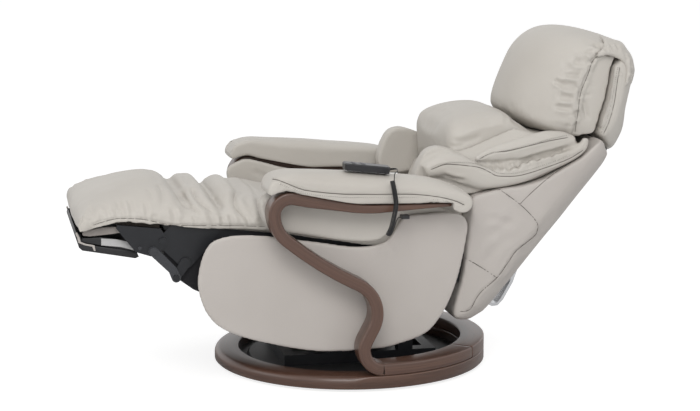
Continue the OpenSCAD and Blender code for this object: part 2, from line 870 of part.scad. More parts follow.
// Hinge plates on the front of the shell
module back_hinges() {
    color(steel)
        at_back() {
            both_sides(11, 16)
                polygon([back_rod + [-12, 4], back_rod + [-10, -12], back_rod + [6, -14],
                    [129.9, -88], [92.9, -10], [70, -36]]);
            pin(back_rod, 6, -16, 16);
            for (s = [-1, 1])
                for (y = [s * 80 - 24, s * 80 + 14.5])
                    difference() {
                        union() {
                            pin(head_p, 6.5, y, y + 9.5);
                            block([head_p.x - 6.5, y, head_p.y - 12], [head_p.x + 6.5, y + 9.5, head_p.y]);
                        }
                        pin(head_p, 4, -200, 200);
                    }
            pin_both(head_p, 4, 56, 104);
            difference() {
                union() {
                    both_sides(plate_in + plate_t + 1, plate_in + 2 * plate_t + 1)
                        polygon([[-16, -12], [4, -20], [97, -20], [96.5, -19], [92.6, -10],
                            [61.6, 43], [58, 49], [8, 19], [-12, 14]]);
                    both_sides(plate_in + plate_t + 1 - 26, plate_in + 2 * plate_t + 1)
                        polygon([[96.5, -19], [92.6, -10], [61.6, 43], [56, 42], [88, -14], [90, -19]]);
                }
                pin([0, 0], pin_d / 2 + run, -300, 300);
            }
        }
}

module lumbar_cushion() {
    color(leather)
        at_back()
            across(-mid_hw, mid_hw)
                polygon([[61, 43.5], [8, 52], [-42, 78], [-80, 120], [-96, 170], [-97, 192],
                    [16.6, 242], [-30, 183], [-13, 157.5]]);
}

// Plump centre pillow of the back, thinner in the two bands beside it
module upper_back_cushion() {
    color(leather)
        at_back() {
            across(-mid_hw + 23, mid_hw - 23)
                polygon([[17, 243.5], [-97.5, 192.8], [-112, 212], [-140, 240], [-166, 268],
                    [-178, 290], [-172, 308], [-157, 331], [-130, 362], [-98, 397], [-76, 413],
                    [-60, 416], [-48, 409], [2, 420], [34, 438], [100, 474], [143, 494],
                    [140, 446.5], [116, 385.5], [98, 341.5], [61, 290.5]]);
            both_sides(mid_hw - 23, mid_hw)
                polygon([[17, 243.5], [-97.5, 192.8], [-118, 255], [-81, 329], [-42, 400],
                    [-36, 410], [2, 420], [34, 438], [100, 474], [143, 494], [140, 446.5],
                    [116, 385.5], [98, 341.5], [61, 290.5]]);
        }
}

// Soft side wing of the back
module wing(s) {
    pts = [[-30, 184], [-70, 150], [-120, 100], [-150, 92], [-172, 104], [-190, 140],
        [-203, 180], [-203, 200], [-186, 226], [-152, 246], [-110, 256], [-88, 264],
        [-62, 316], [-31, 370], [3, 419], [39, 457], [79, 478], [108, 480], [142, 490],
        [140, 446.5], [116, 385.5], [98, 341.5], [61, 290.5], [17, 243.5]];
    y0 = mid_hw + 0.5;
    color(leather)
        at_back()
            mirror([0, s > 0 ? 1 : 0, 0]) {
                across(-back_hw + 12, -y0)
                    polygon(pts);
                across(-back_hw, -back_hw + 12)
                    offset(delta = -9)
                        polygon(pts);
            }
}

module wing_left() {
    wing(-1);
}

module wing_right() {
    wing(1);
}

// Black plate and aluminium bow of the rear handle
module handle_base() {
    color([0.08, 0.08, 0.09])
        at_back()
            block([back_depth, -60, -6], [back_depth + 4, 60, handle_len - 6]);
}

module handle_bow() {
    x = back_depth + 4;
    color(alu)
        at_back()
            across(-45, 45)
                polygon([[x, -14], [x + 26, -10], [x + 38, 2], [x + 40, 24],
                    [x + 30, handle_len - 70], [x + 12, handle_len - 22], [x, handle_len - 12],
                    [x, handle_len - 32], [x + 22, handle_len - 74], [x + 32, 24], [x + 31, 6],
                    [x + 23, -2], [x, -4]]);
}

// Plate with vibration motors behind the lumbar cushion
module massage_motors() {
    color([0.3, 0.3, 0.33])
        at_back() {
            block([118, -mid_hw + 28, 20], [122, mid_hw - 28, 200]);
            for (y = [-90, 90])
                for (z = [70, 150])
                    translate([122, y, z])
                        rotate([0, 90, 0])
                            cylinder(d = 46, h = 24);
        }
}

// ---- headrest ----

head_o = [0, 530];

module head_shell() {
    d = back_depth;
    color(leather_dark)
        at_back()
            difference() {
                intersection() {
                    across(-head_hw - 8, head_hw + 8)
                        polygon([[152, 529], [132, 568], [110, 620], [86, 660], [64, 700],
                            [64, 740], [72, 776], [127, 787], [d + 60, 787], [d + 60, 529]]);
                    hull() {
                        across(-70, 70)
                            polygon([[60, 529], [60, 740], [72, 772], [106, 777], [128, 773],
                                [146, 764], [161, 755], [172, 743], [d - 72, 711], [d - 58, 680],
                                [d - 37, 647], [d - 21, 624], [d - 8, 599], [d, 570], [d + 2, 546],
                                [d - 8, 531], [d - 42, 529]]);
                        across(-head_hw + 55, head_hw - 55)
                            polygon([[60, 529], [60, 738], [78, 759], [96, 755], [112, 747],
                                [127, 738], [138, 725], [d - 107, 696], [d - 92, 665], [d - 72, 633],
                                [d - 55, 610], [d - 42, 586], [d - 32, 558], [d - 30, 540],
                                [d - 36, 530], [d - 60, 529]]);
                        across(-head_hw - 8, head_hw + 8)
                            polygon([[60, 529], [60, 722], [72, 736], [90, 728], [104, 712],
                                [d - 136, 676], [d - 114, 634], [d - 92, 586], [d - 86, 548],
                                [d - 90, 531], [d - 98, 529]]);
                    }
                }
            pin_both(head_p, 8, 54, 106);
            }
}

function head_outline(r) = [[-60 + r, 424 + r], [10, 446 + r], [92, 490 + r], [142, 514 + r],
    [150, 529], [130, 568], [108, 620], [84, 660], [62, 700], [62, 740 - r], [68 - r / 4, 772 - r],
    [26, 762 - r], [-18, 738 - r], [-60, 712 - r], [-98, 684 - r], [-124 + r / 2, 655 - r / 2],
    [-137 + r, 609], [-139 + r, 562], [-126 + r, 513], [-104 + r, 474], [-82 + r, 442]];

module head_cushion() {
    color(leather)
        at_back()
            for (k = [[100, 8, 0], [62, 14, 6], [36, 22, 17], [16, 32, 34], [0, 44, 62]])
                across(-head_hw + k.x, head_hw - k.x)
                    intersection() {
                        polygon(head_outline(k.y / 2));
                        translate([k.z, 0])
                            polygon(head_outline(-10));
                    }
}

// Hinge of the headrest at the rear of the back: leaves and knuckles
module head_hinge() {
    color(steel)
        at_back()
            difference() {
                union() {
                    pin_both(head_p, 6.5, 66, 94);
                    for (s = [-1, 1])
                        block([head_p.x - 60, s * 80 - 14, head_p.y + 1.5],
                            [head_p.x - 4, s * 80 + 14, head_p.y + 5]);
                }
                pin(head_p, 4 + run, -200, 200);
            }
}

// ---- recline drive ----

motor_o = seat_pt(motor_f);
rod_o = back_pt(back_rod);
rod_dir = unit(rod_o - motor_o);
rod_ang = atan2(rod_dir.y, rod_dir.x);
rod_len = norm(rod_o - motor_o);

module at_motor() {
    translate([motor_o.x, 0, motor_o.y])
        rotate([0, -rod_ang, 0])
            children();
}

module back_motor_tube() {
    color([0.16, 0.16, 0.17])
        at_motor()
            difference() {
                union() {
                    translate([16, 0, 0])
                        rotate([0, 90, 0])
                            cylinder(r = 22, h = rod_len - 110);
                    pin([0, 0], 14, -12, 12);
                    block([0, -12, -14], [20, 12, 14]);
                    block([30, -30, -62], [90, 30, -10]);
                }
                translate([40, 0, 0])
                    rotate([0, 90, 0])
                        cylinder(r = 10 + run, h = rod_len);
                pin([0, 0], 6 + run, -50, 50);
            }
}

module back_motor_rod() {
    color(alu)
        at_motor()
            difference() {
                union() {
                    translate([rod_len - 190, 0, 0])
                        rotate([0, 90, 0])
                            cylinder(r = 10, h = 176);
                    pin([rod_len, 0], 16, -9, 9);
                }
                pin([rod_len, 0], 9, -50, 50);
            }
}

// ---- handset ----

pad_slope = 6.8;
hs_pt = [-28, -335, 577];

module at_handset() {
    translate(hs_pt)
        rotate([0, pad_slope, 0])
            children();
}

module handset_case() {
    w = handset_w / 2;
    l = handset_len / 2;
    color([0.09, 0.09, 0.1])
        at_handset()
            difference() {
                hull() {
                    for (x = [-l + 14, l - 12])
                        for (y = [-w + 12, w - 12])
                            translate([x, y, 0])
                                cylinder(r1 = 10, r2 = 12, h = handset_t - 3, $fn = 32);
                    for (x = [-l + 16, l - 14])
                        for (y = [-w + 14, w - 14])
                            translate([x, y, 1])
                                cylinder(r = 11, h = handset_t - 1, $fn = 32);
                }
                for (p = button_xy)
                    translate([p.x, p.y, handset_t - 6])
                        cylinder(r = 6 + 0.3, h = 20);
            }
}

button_xy = [[-34, 9], [-34, -9], [-10, 9], [-10, -9]];

module button(i) {
    color([0.3, 0.3, 0.32])
        at_handset()
            translate([button_xy[i].x, button_xy[i].y, handset_t - 4])
                cylinder(r = 6, h = 5.2);
}

module button_back_up() {
    button(0);
}

module button_back_down() {
    button(1);
}

module button_legs_up() {
    button(2);
}

module button_legs_down() {
    button(3);
}

floor_plate();
floor_glide();
race_lower();
bearing_balls();
race_upper();
turn_disc();
base_ring();
rear_arc();
bow_left();
bow_right();
arm_pad_left();
arm_pad_right();
arm_inner_left();
arm_inner_right();
side_panel_left();
side_panel_right();
chassis();
arm_beams();
arm_spacers();
control_box();
cord_clip();
handset_lead();
curly_cord();
cord_tail();
seat_frame();
seat_springs();
pivot_pins();
hanger_plates();
seat_cushion();
seat_apron();
legrest_motor();
legrest_board();
legrest_brackets();
legrest_bolts();
legrest_cushion();
tray_runners();
foot_tray();
crank_shaft();
pushrods();
back_shell();
back_hinges();
lumbar_cushion();
upper_back_cushion();
wing_left();
wing_right();
handle_base();
handle_bow();
massage_motors();
head_shell();
head_cushion();
head_hinge();
back_motor_tube();
back_motor_rod();
handset_case();
button_back_up();
button_back_down();
button_legs_up();
button_legs_down();
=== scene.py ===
"""A power recliner on a wooden ring base: leather, wood, cord and light around the frame's solids.

Side outlines are in millimetres, x to the rear and z up, in the plane of the chair. SEAT and BACK are the
frames of the tilted seat and of the reclined back. The left side, y < 0, is the one that the camera sees.
"""
import json
import math

import bmesh
import bpy
import numpy as np
from mathutils import Matrix, Vector, noise
from mathutils.bvhtree import BVHTree


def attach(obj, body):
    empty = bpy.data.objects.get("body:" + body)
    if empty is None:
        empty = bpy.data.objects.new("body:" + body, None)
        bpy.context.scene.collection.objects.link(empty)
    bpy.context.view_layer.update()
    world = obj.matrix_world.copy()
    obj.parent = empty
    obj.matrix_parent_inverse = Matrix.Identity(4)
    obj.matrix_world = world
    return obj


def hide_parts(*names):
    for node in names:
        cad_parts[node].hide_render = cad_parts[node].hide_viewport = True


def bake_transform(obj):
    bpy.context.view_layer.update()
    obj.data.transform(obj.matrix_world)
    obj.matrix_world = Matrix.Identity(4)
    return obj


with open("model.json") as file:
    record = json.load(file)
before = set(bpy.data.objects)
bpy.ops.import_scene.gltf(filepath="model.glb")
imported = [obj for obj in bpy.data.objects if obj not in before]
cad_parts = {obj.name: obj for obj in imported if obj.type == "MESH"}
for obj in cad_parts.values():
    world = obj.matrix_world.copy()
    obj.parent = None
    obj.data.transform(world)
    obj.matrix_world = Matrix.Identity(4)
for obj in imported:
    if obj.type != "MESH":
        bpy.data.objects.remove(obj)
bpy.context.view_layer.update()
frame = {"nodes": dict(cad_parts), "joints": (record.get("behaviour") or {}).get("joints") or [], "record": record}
NODES = frame["nodes"]
JOINT = {j["name"]: j for j in frame["joints"]}
scene = bpy.context.scene

# ------------------------------------------------------------------ frames

SEAT_TILT = 7.0
BACK_LEAN = 40.0


def frame_at(joint, deg):
    return Matrix.Translation(Vector(JOINT[joint]["pos_m"])) @ Matrix.Rotation(math.radians(deg), 4, "Y")


SEAT = frame_at("seat_tilt", SEAT_TILT)
BACK = frame_at("back_recline", BACK_LEAN)
WORLD = Matrix.Identity(4)


def pts(m, a):
    """Millimetres in a local frame to metres in the world."""
    a = np.asarray(a, float).reshape(-1, 3) / 1000
    r = np.array(m)
    return a @ r[:3, :3].T + r[:3, 3]


def local(m, co):
    r = np.array(m.inverted())
    return (co @ r[:3, :3].T + r[:3, 3]) * 1000


# ------------------------------------------------------------------ camera

CAMERA_AT = (-1.0358, -4.8915, 1.2816)
CAMERA_YAW, CAMERA_DOWN = math.radians(11.956), math.radians(9.6627)
CAMERA_LENS, CAMERA_SHIFT = 94.54, 0.0012


def camera():
    data = bpy.data.cameras.new("camera")
    data.sensor_width = 36
    data.lens = CAMERA_LENS
    data.shift_x = CAMERA_SHIFT
    data.clip_start, data.clip_end = 0.1, 60
    cam = bpy.data.objects.new("camera", data)
    scene.collection.objects.link(cam)
    cam.location = CAMERA_AT
    flat = math.cos(CAMERA_DOWN)
    look = Vector((math.sin(CAMERA_YAW) * flat, math.cos(CAMERA_YAW) * flat, -math.sin(CAMERA_DOWN)))
    cam.rotation_mode = "QUATERNION"
    cam.rotation_quaternion = look.to_track_quat("-Z", "Y")
    scene.camera = cam


camera()

# ------------------------------------------------------------------ materials


BLACK3, WHITE3 = (0, 0, 0), (1, 1, 1)


def shader(tree, kind, **values):
    """A node with some of its inputs set."""
    node = tree.nodes.new("ShaderNode" + kind)
    for k, v in values.items():
        node.inputs[k].default_value = v
    return node


class Mat:
    """A small helper for node materials."""

    def __init__(self, name, rough=0.5, metal=0.0, color=(0.5, 0.5, 0.5), spec=0.5):
        self.m = bpy.data.materials.new(name)
        self.m.use_nodes = True
        self.t = self.m.node_tree
        self.b = self.t.nodes["Principled BSDF"]
        self.set("Base Color", (*color, 1))
        self.set("Roughness", rough)
        self.set("Metallic", metal)
        self.set("Specular IOR Level", spec)

    def set(self, k, v):
        self.b.inputs[k].default_value = v


    def link(self, a, b):
        self.t.links.new(a, b)

    def ramp(self, src, stops):
        r = shader(self.t, "ValToRGB")
        e = r.color_ramp.elements
        while len(e) < len(stops):
            e.new(0.5)
        for el, (p, c) in zip(e, stops):
            el.position = p
            el.color = (*c, 1)
        self.link(src, r.inputs["Fac"])
        return r.outputs["Color"]

    def noise(self, vec, scale, detail=4, rough=0.55, dist=0.0):
        t = shader(self.t, "TexNoise", Scale=scale, Detail=detail, Roughness=rough, Distortion=dist)
        self.link(vec, t.inputs["Vector"])
        return t.outputs["Fac"]

    def obj(self):
        return shader(self.t, "TexCoord").outputs["Object"]

    def mapped(self, vec, scale):
        node = shader(self.t, "Mapping", Scale=scale)
        self.link(vec, node.inputs["Vector"])
        return node.outputs["Vector"]

    def fma(self, a, by, plus):
        """a * by + plus, for plain numbers by and plus."""
        m = shader(self.t, "Math")
        m.operation = "MULTIPLY_ADD"
        self.link(a, m.inputs[0])
        m.inputs[1].default_value, m.inputs[2].default_value = by, plus
        return m.outputs[0]

    def mix(self, fac, a, b):
        m = shader(self.t, "Mix")
        m.data_type = "RGBA"
        for s, v in ((m.inputs["Factor"], fac), (m.inputs[6], a), (m.inputs[7], b)):
            if isinstance(v, float):
                s.default_value = v
            elif isinstance(v, tuple):
                s.default_value = (*v, 1)
            else:
                self.link(v, s)
        return m.outputs[2]

    def bump(self, *layers):
        """Each layer is (height socket, strength, distance in metres)."""
        prev = None
        for h, s, d in layers:
            b = shader(self.t, "Bump", Strength=s, Distance=d)
            self.link(h, b.inputs["Height"])
            if prev is not None:
                self.link(prev, b.inputs["Normal"])
            prev = b.outputs["Normal"]
        self.link(prev, self.b.inputs["Normal"])


def leather_mat(name, base, dark, rough=0.52):
    m = Mat(name, rough=rough, color=base, spec=0.42)
    o = m.obj()
    big = m.noise(o, 3.2, 3, 0.5)
    fine = m.noise(o, 420, 3, 0.6)
    tone = m.mix(m.ramp(big, [(0.35, BLACK3), (0.7, WHITE3)]), base, dark)
    pits = m.ramp(fine, [(0.42, (0.22, 0.22, 0.22)), (0.6, BLACK3)])
    m.link(m.mix(pits, tone, dark), m.b.inputs["Base Color"])
    cells = shader(m.t, "TexVoronoi", Scale=620)
    m.link(o, cells.inputs["Vector"])
    soft = m.noise(o, 26, 4, 0.55)
    m.bump((soft, 0.25, 0.0016), (cells.outputs["Distance"], 0.22, 0.0003), (fine, 0.2, 0.0002))
    m.link(m.fma(m.noise(o, 9, 3, 0.5), 0.14, rough - 0.07), m.b.inputs["Roughness"])
    m.set("Coat Weight", 0.06)
    m.set("Coat Roughness", 0.35)
    return m.m


def wood_mat():
    """Stained walnut; the "grain" attribute runs along, across and out of each part."""
    m = Mat("walnut_stained", rough=0.34, spec=0.5)
    grain = shader(m.t, "Attribute")
    grain.attribute_name = "grain"
    g = grain.outputs["Vector"]
    lines = m.noise(m.mapped(g, (3.0, 60.0, 420.0)), 1.0, 5, 0.62, 0.4)
    pores = m.noise(m.mapped(g, (9.0, 260.0, 900.0)), 1.0, 3, 0.7)
    wide = m.noise(m.mapped(g, (1.2, 14.0, 30.0)), 1.0, 3, 0.5, 0.6)
    col = m.ramp(lines, [(0.30, (0.034, 0.016, 0.011)), (0.48, (0.082, 0.041, 0.028)),
                         (0.60, (0.120, 0.062, 0.042)), (0.74, (0.165, 0.088, 0.058))])
    tint = m.ramp(wide, [(0.3, (0.060, 0.030, 0.022)), (0.75, (0.140, 0.070, 0.046))])
    col = m.mix(0.42, col, tint)
    col = m.mix(m.ramp(pores, [(0.60, BLACK3), (0.72, (0.7, 0.7, 0.7))]), col, (0.022, 0.011, 0.008))
    m.link(col, m.b.inputs["Base Color"])
    m.link(m.fma(lines, 0.16, 0.27), m.b.inputs["Roughness"])
    m.bump((lines, 0.10, 0.0006), (pores, 0.12, 0.0003))
    m.set("Coat Weight", 0.25)
    m.set("Coat Roughness", 0.22)
    return m.m


def plain_mat(name, color, rough, metal=0.0, grain=300, depth=0.0003, strength=0.25, var=0.12, spec=0.5,
              scale=(1, 1, 1)):
    m = Mat(name, rough=rough, metal=metal, color=color, spec=spec)
    fine = m.noise(m.mapped(m.obj(), scale), grain, 4, 0.6)
    wide = m.noise(m.obj(), 14, 3, 0.5)
    lo = tuple(c * (1 - var) for c in color)
    hi = tuple(min(1, c * (1 + var)) for c in color)
    m.link(m.mix(m.ramp(wide, [(0.3, BLACK3), (0.7, WHITE3)]), lo, hi), m.b.inputs["Base Color"])
    m.bump((fine, strength, depth))
    m.link(m.fma(wide, 0.12, rough - 0.06), m.b.inputs["Roughness"])
    return m.m


LEATHER = leather_mat("leather_light", (0.548, 0.522, 0.482), (0.492, 0.464, 0.424))
# darker copy of the same leather for the back shell, side panels and tray strap: painted shade on faces turned
# from the light
LEATHER_SHADED = leather_mat("leather_side_shaded", (0.520, 0.486, 0.458), (0.474, 0.441, 0.413), 0.56)
# darker copy of the leather for the lining under the legrest: the lining is real, its darker tone is painted shade
LINING_SHADED = leather_mat("leather_lining_shaded", (0.330, 0.300, 0.280), (0.270, 0.245, 0.228), 0.62)
WALNUT = wood_mat()
BLACK_STEEL = plain_mat("powder_black", (0.014, 0.015, 0.018), 0.40, 0.0, 520, 0.0002, spec=0.35)
BOLT = plain_mat("bolt_black", (0.026, 0.028, 0.034), 0.26, 0.0, 400, 0.0001, spec=0.6)
DARK_DISC = plain_mat("disc_graphite", (0.030, 0.030, 0.032), 0.48, 0.0, 420, 0.0002)
BLACK_PLASTIC = plain_mat("plastic_black", (0.014, 0.014, 0.016), 0.36, 0.0, 900, 0.00012)
APRON = plain_mat("apron_fabric", (0.016, 0.016, 0.018), 0.75, 0.0, 800, 0.0004, 0.5, spec=0.2)
CABLE = plain_mat("cable_black", (0.010, 0.010, 0.011), 0.5, 0.0, 500, 0.0001)
RUBBER = plain_mat("rubber_black", (0.012, 0.012, 0.012), 0.8, 0.0, 300, 0.0002)
ALU = plain_mat("aluminium_brushed", (0.62, 0.63, 0.65), 0.28, 1.0, 260, 0.0002, 0.3, 0.08, 0.5, (1, 14, 1))
ZINC = plain_mat("zinc_plate", (0.42, 0.43, 0.45), 0.34, 1.0, 160, 0.0002)
BUTTON = plain_mat("button_grey", (0.09, 0.09, 0.10), 0.45, 0.0, 700, 0.0001)
BOARD = plain_mat("board_dark", (0.035, 0.026, 0.020), 0.7, 0.0, 120, 0.0004, 0.4, 0.2, 0.4, (1, 9, 9))
LABEL = plain_mat("strip_bare", (0.50, 0.50, 0.50), 0.6, 0.0, 600, 0.0001)
THREAD = plain_mat("thread_pale", (0.82, 0.80, 0.75), 0.7, 0.0, 900, 0.0002)
# painted shade: dark tone of the thin line laid under each stitch row as the shadow of its channel
STITCH_SHADE = plain_mat("stitch_channel_shade", (0.27, 0.25, 0.225), 0.7, 0.0, 900, 0.0002)
# painted seam shadow: dark tone of the thin lines laid along the seams where their grooves are in shade
SEAM_SHADE = plain_mat("seam_shadow", (0.115, 0.102, 0.090), 0.8, 0.0, 700, 0.0002)

SLOT_MAT = {"walnut": WALNUT, "leather": LEATHER, "rubber": RUBBER, "black_plastic": BLACK_PLASTIC,
            "button_grey": BUTTON, "brushed_aluminium": ALU, "bright_steel": ZINC, "board": BOARD,
            "black_steel": BLACK_STEEL}
SUB = {s["node"]: s["material_slot"] for s in frame["record"]["subparts"]}
for name, ob in NODES.items():
    ob.data.materials.clear()
    ob.data.materials.append(SLOT_MAT.get(SUB.get(name), BLACK_STEEL))
for name, mat in (("turn_disc", DARK_DISC), ("seat_apron", APRON), ("floor_plate", DARK_DISC),
                  ("legrest_bolts", BOLT),
                  ("pushrods", BOLT), ("handle_base", BLACK_PLASTIC),
                  ("cord_tail", CABLE), ("handset_lead", CABLE), ("curly_cord", CABLE)):
    NODES[name].data.materials[0] = mat

# ------------------------------------------------------------------ mesh helpers


def new_obj(name, verts, faces, mat, smooth=True):
    me = bpy.data.meshes.new(name)
    me.from_pydata([tuple(map(float, v)) for v in verts], [], [tuple(map(int, f)) for f in faces])
    me.update()
    ob = bpy.data.objects.new(name, me)
    scene.collection.objects.link(ob)
    if mat is not None:
        me.materials.append(mat)
    if smooth:
        me.polygons.foreach_set("use_smooth", [True] * len(me.polygons))
    return ob


def skin(rows, n, first=0):
    """Faces of a skin over rows of n points each, capped at both ends."""
    a = [first + i * n for i in range(rows)]
    f = [(p + j, p + (j + 1) % n, q + (j + 1) % n, q + j) for p, q in zip(a, a[1:]) for j in range(n)]
    return f + [tuple(a[0] + j for j in range(n))[::-1], tuple(a[-1] + j for j in range(n))]


def joined(parts):
    """Several meshes, each points and faces, as one."""
    v, f = [], []
    for w, g in parts:
        f += [[i + len(v) for i in face] for face in g]
        v += w
    return v, f


def tangents(path):
    t = np.gradient(path, axis=0)
    return t / np.maximum(np.linalg.norm(t, axis=1)[:, None], 1e-9)


def smooth(k):
    return k * k * (3 - 2 * k)


def fix_normals(ob):
    bm = bmesh.new()
    bm.from_mesh(ob.data)
    bmesh.ops.recalc_face_normals(bm, faces=bm.faces)
    bm.to_mesh(ob.data)
    bm.free()
    return ob


def bake(ob):
    """Apply all modifiers."""
    dg = bpy.context.evaluated_depsgraph_get()
    me = bpy.data.meshes.new_from_object(ob.evaluated_get(dg))
    old = ob.data
    ob.modifiers.clear()
    ob.data = me
    bpy.data.meshes.remove(old)
    me.polygons.foreach_set("use_smooth", [True] * len(me.polygons))
    return ob


def co_of(ob):
    a = np.zeros(len(ob.data.vertices) * 3, np.float32)
    ob.data.vertices.foreach_get("co", a)
    return a.reshape(-1, 3).astype(float)


def no_of(ob):
    ob.data.update()
    a = np.zeros(len(ob.data.vertices) * 3, np.float32)
    ob.data.vertex_normals.foreach_get("vector", a)
    return a.reshape(-1, 3).astype(float)


def put(ob, co):
    ob.data.vertices.foreach_set("co", co.astype(np.float32).ravel())
    ob.data.update()


def edges_of(ob):
    e = np.zeros(len(ob.data.edges) * 2, np.int32)
    ob.data.edges.foreach_get("vertices", e)
    return e.reshape(-1, 2)


def relax(ob, n):
    """Move each vertex towards the mean of its neighbours, n times."""
    co, e = co_of(ob), edges_of(ob)
    deg = np.bincount(e.ravel(), minlength=len(co)).astype(float)[:, None]
    for _ in range(n):
        s = np.zeros_like(co)
        for k in range(3):
            s[:, k] = sum(np.bincount(e[:, i], co[e[:, 1 - i], k], len(co)) for i in (0, 1))
        co += 0.5 * (s / np.maximum(deg, 1) - co)
    put(ob, co)


def curve2d(p, k=8, closed=True):
    """Catmull-Rom through a few points, in two or three dimensions."""
    p = np.asarray(p, float)
    n = len(p)
    out = []
    for i in range(n if closed else n - 1):
        a, b, c, d = (p[j % n] if closed else p[min(max(j, 0), n - 1)] for j in range(i - 1, i + 3))
        for t in (j / k for j in range(k)):
            out.append(0.5 * (2 * b + (c - a) * t + (2 * a - 5 * b + 4 * c - d) * t * t
                              + (3 * b - a - 3 * c + d) * t ** 3))
    if not closed:
        out.append(p[-1])
    return np.array(out)


def inset(poly, r):
    """Move a closed outline inwards by r."""
    area = 0.5 * np.sum(poly[:, 0] * np.roll(poly[:, 1], -1) - np.roll(poly[:, 0], -1) * poly[:, 1])
    t = np.roll(poly, -1, 0) - np.roll(poly, 1, 0)
    t /= np.maximum(np.linalg.norm(t, axis=1)[:, None], 1e-9)
    nrm = np.stack([-t[:, 1], t[:, 0]], 1) * (1 if area > 0 else -1)
    return poly + nrm * r


def prism(poly, y0, y1):
    n = len(poly)
    v = [(x, y0, z) for x, z in poly] + [(x, y1, z) for x, z in poly]
    f = [[i, (i + 1) % n, n + (i + 1) % n, n + i] for i in range(n)]
    return v, f + [list(range(n))[::-1], list(range(n, 2 * n))]


def body_mesh(name, parts, m, mat, vox, rounds=3):
    """Several closed shells, given in mm in a local frame, joined by a voxel remesh and smoothed."""
    bm = bmesh.new()
    for v, f in parts:
        w = pts(m, v)
        vs = [bm.verts.new(p) for p in w]
        for face in f:
            try:
                bm.faces.new([vs[i] for i in face])
            except ValueError:
                pass
    bmesh.ops.triangulate(bm, faces=[f for f in bm.faces if len(f.verts) > 4])
    bmesh.ops.recalc_face_normals(bm, faces=bm.faces)
    me = bpy.data.meshes.new(name)
    bm.to_mesh(me)
    bm.free()
    ob = bpy.data.objects.new(name, me)
    scene.collection.objects.link(ob)
    mod = ob.modifiers.new("remesh", "REMESH")
    mod.mode = "VOXEL"
    mod.voxel_size = vox
    bake(ob)
    ob.data.materials.clear()
    ob.data.materials.append(mat)
    relax(ob, rounds)
    return ob


PUFF_FRAMES = 10


def puff(ob, pressure, cap, shrink):
    """Swell a pad with cloth pressure; no vertex moves further than cap."""
    start = co_of(ob)
    put(ob, start - no_of(ob) * shrink)
    mod = ob.modifiers.new("cloth", "CLOTH")
    s = mod.settings
    s.quality = 4
    s.mass = 0.3
    s.tension_stiffness = 12
    s.compression_stiffness = 12
    s.shear_stiffness = 5
    s.bending_stiffness = 0.6
    s.use_pressure = True
    s.uniform_pressure_force = pressure
    s.effector_weights.gravity = 0
    for f in range(1, PUFF_FRAMES + 1):
        scene.frame_set(f)
        bpy.context.view_layer.update()
    dg = bpy.context.evaluated_depsgraph_get()
    e = ob.evaluated_get(dg)
    got = np.zeros(len(ob.data.vertices) * 3, np.float32)
    e.data.vertices.foreach_get("co", got)
    got = got.reshape(-1, 3).astype(float)
    ob.modifiers.clear()
    scene.frame_set(1)
    d = got - start
    ln = np.maximum(np.linalg.norm(d, axis=1)[:, None], 1e-9)
    put(ob, start + d / ln * (cap * np.tanh(ln / cap)))


def groove(d, along, width, depth, lip, taper):
    """Inward push of a crease with a slight lip on both sides."""
    f = np.exp(-(d / width) ** 2) - lip * np.exp(-((d - 1.9 * width) / (0.8 * width)) ** 2)
    if taper:
        f = f * np.clip(np.sin(np.pi * np.clip(along, 0.02, 0.98)) * 1.6, 0, 1)
    return -depth * f


def lumps(ob, size, amount, seed):
    """Gentle unevenness, in metres."""
    co, no = co_of(ob), no_of(ob)
    h = np.array([noise.noise(Vector((c[0] + seed, c[1] - seed, c[2])) / size) for c in co])
    put(ob, co + no * (h * amount)[:, None])


STITCH_STEP, STITCH_LENGTH, STITCH_R = 0.0056, 0.0038, 0.001


def stitches(name, hits, body):
    """A row of short threads along points that lie on a surface."""
    if len(hits) < 3:
        return
    p, n = track(hits), np.array([h[1] for h in hits])
    s = np.concatenate([[0], np.cumsum(np.linalg.norm(np.diff(p, axis=0), axis=1))])

    def at(u, rows):
        return np.array([np.interp(u, s, rows[:, j]) for j in range(3)])
    v, f = [], []
    for i in range(int(s[-1] / STITCH_STEP)):
        a = i * STITCH_STEP
        pa, pb, nn = at(a, p), at(a + STITCH_LENGTH, p), at(a, n)
        d = pb - pa
        if not 1e-6 < np.linalg.norm(d) < 3 * STITCH_LENGTH:
            continue
        d /= np.linalg.norm(d)
        nn /= max(np.linalg.norm(nn), 1e-6)
        side = np.cross(d, nn)
        f += [q[::-1] for q in skin(3, 4, len(v))]
        for q, w in ((pa, 0.3), ((pa + pb) / 2, 1.0), (pb, 0.3)):
            v += [q + (side * c + nn * e) * STITCH_R * w for c, e in ((1, 0), (0, 1), (-1, 0), (0, -1))]
    finish_piece(new_obj(name, v, f, THREAD), body, "leather")


def add_grain(ob, rows):
    at = ob.data.attributes.new("grain", "FLOAT_VECTOR", "POINT")
    at.data.foreach_set("vector", np.array(rows, np.float32).ravel())


def sweep(name, path, side, section, shape=None):
    """A wooden bar: a closed section (across, out) swept along a path with given 'across' directions.
    Its grain vector holds the distances along, across and out, in metres."""
    t = tangents(path)
    side = side - (side * t).sum(1)[:, None] * t
    side /= np.linalg.norm(side, axis=1)[:, None]
    up = np.cross(t, side)
    s = np.concatenate([[0], np.cumsum(np.linalg.norm(np.diff(path, axis=0), axis=1))])
    v, g = [], []
    for i in range(len(path)):
        for a, b in section if shape is None else shape(i / (len(path) - 1)):
            v.append(path[i] + side[i] * a + up[i] * b)
            g.append((s[i], a, b))
    ob = fix_normals(new_obj(name, v, skin(len(path), len(section)), WALNUT))
    add_grain(ob, g)
    return ob


def round_rect(w, h, r, k=4):
    """Closed section of a rounded rectangle."""
    x, y = w / 2 - r, h / 2 - r
    out = []
    for cx, cy, a0 in ((x, y, 0), (-x, y, 90), (-x, -y, 180), (x, -y, 270)):
        for i in range(k + 1):
            a = math.radians(a0 + 90 * i / k)
            out.append((cx + r * math.cos(a), cy + r * math.sin(a)))
    return np.array(out)


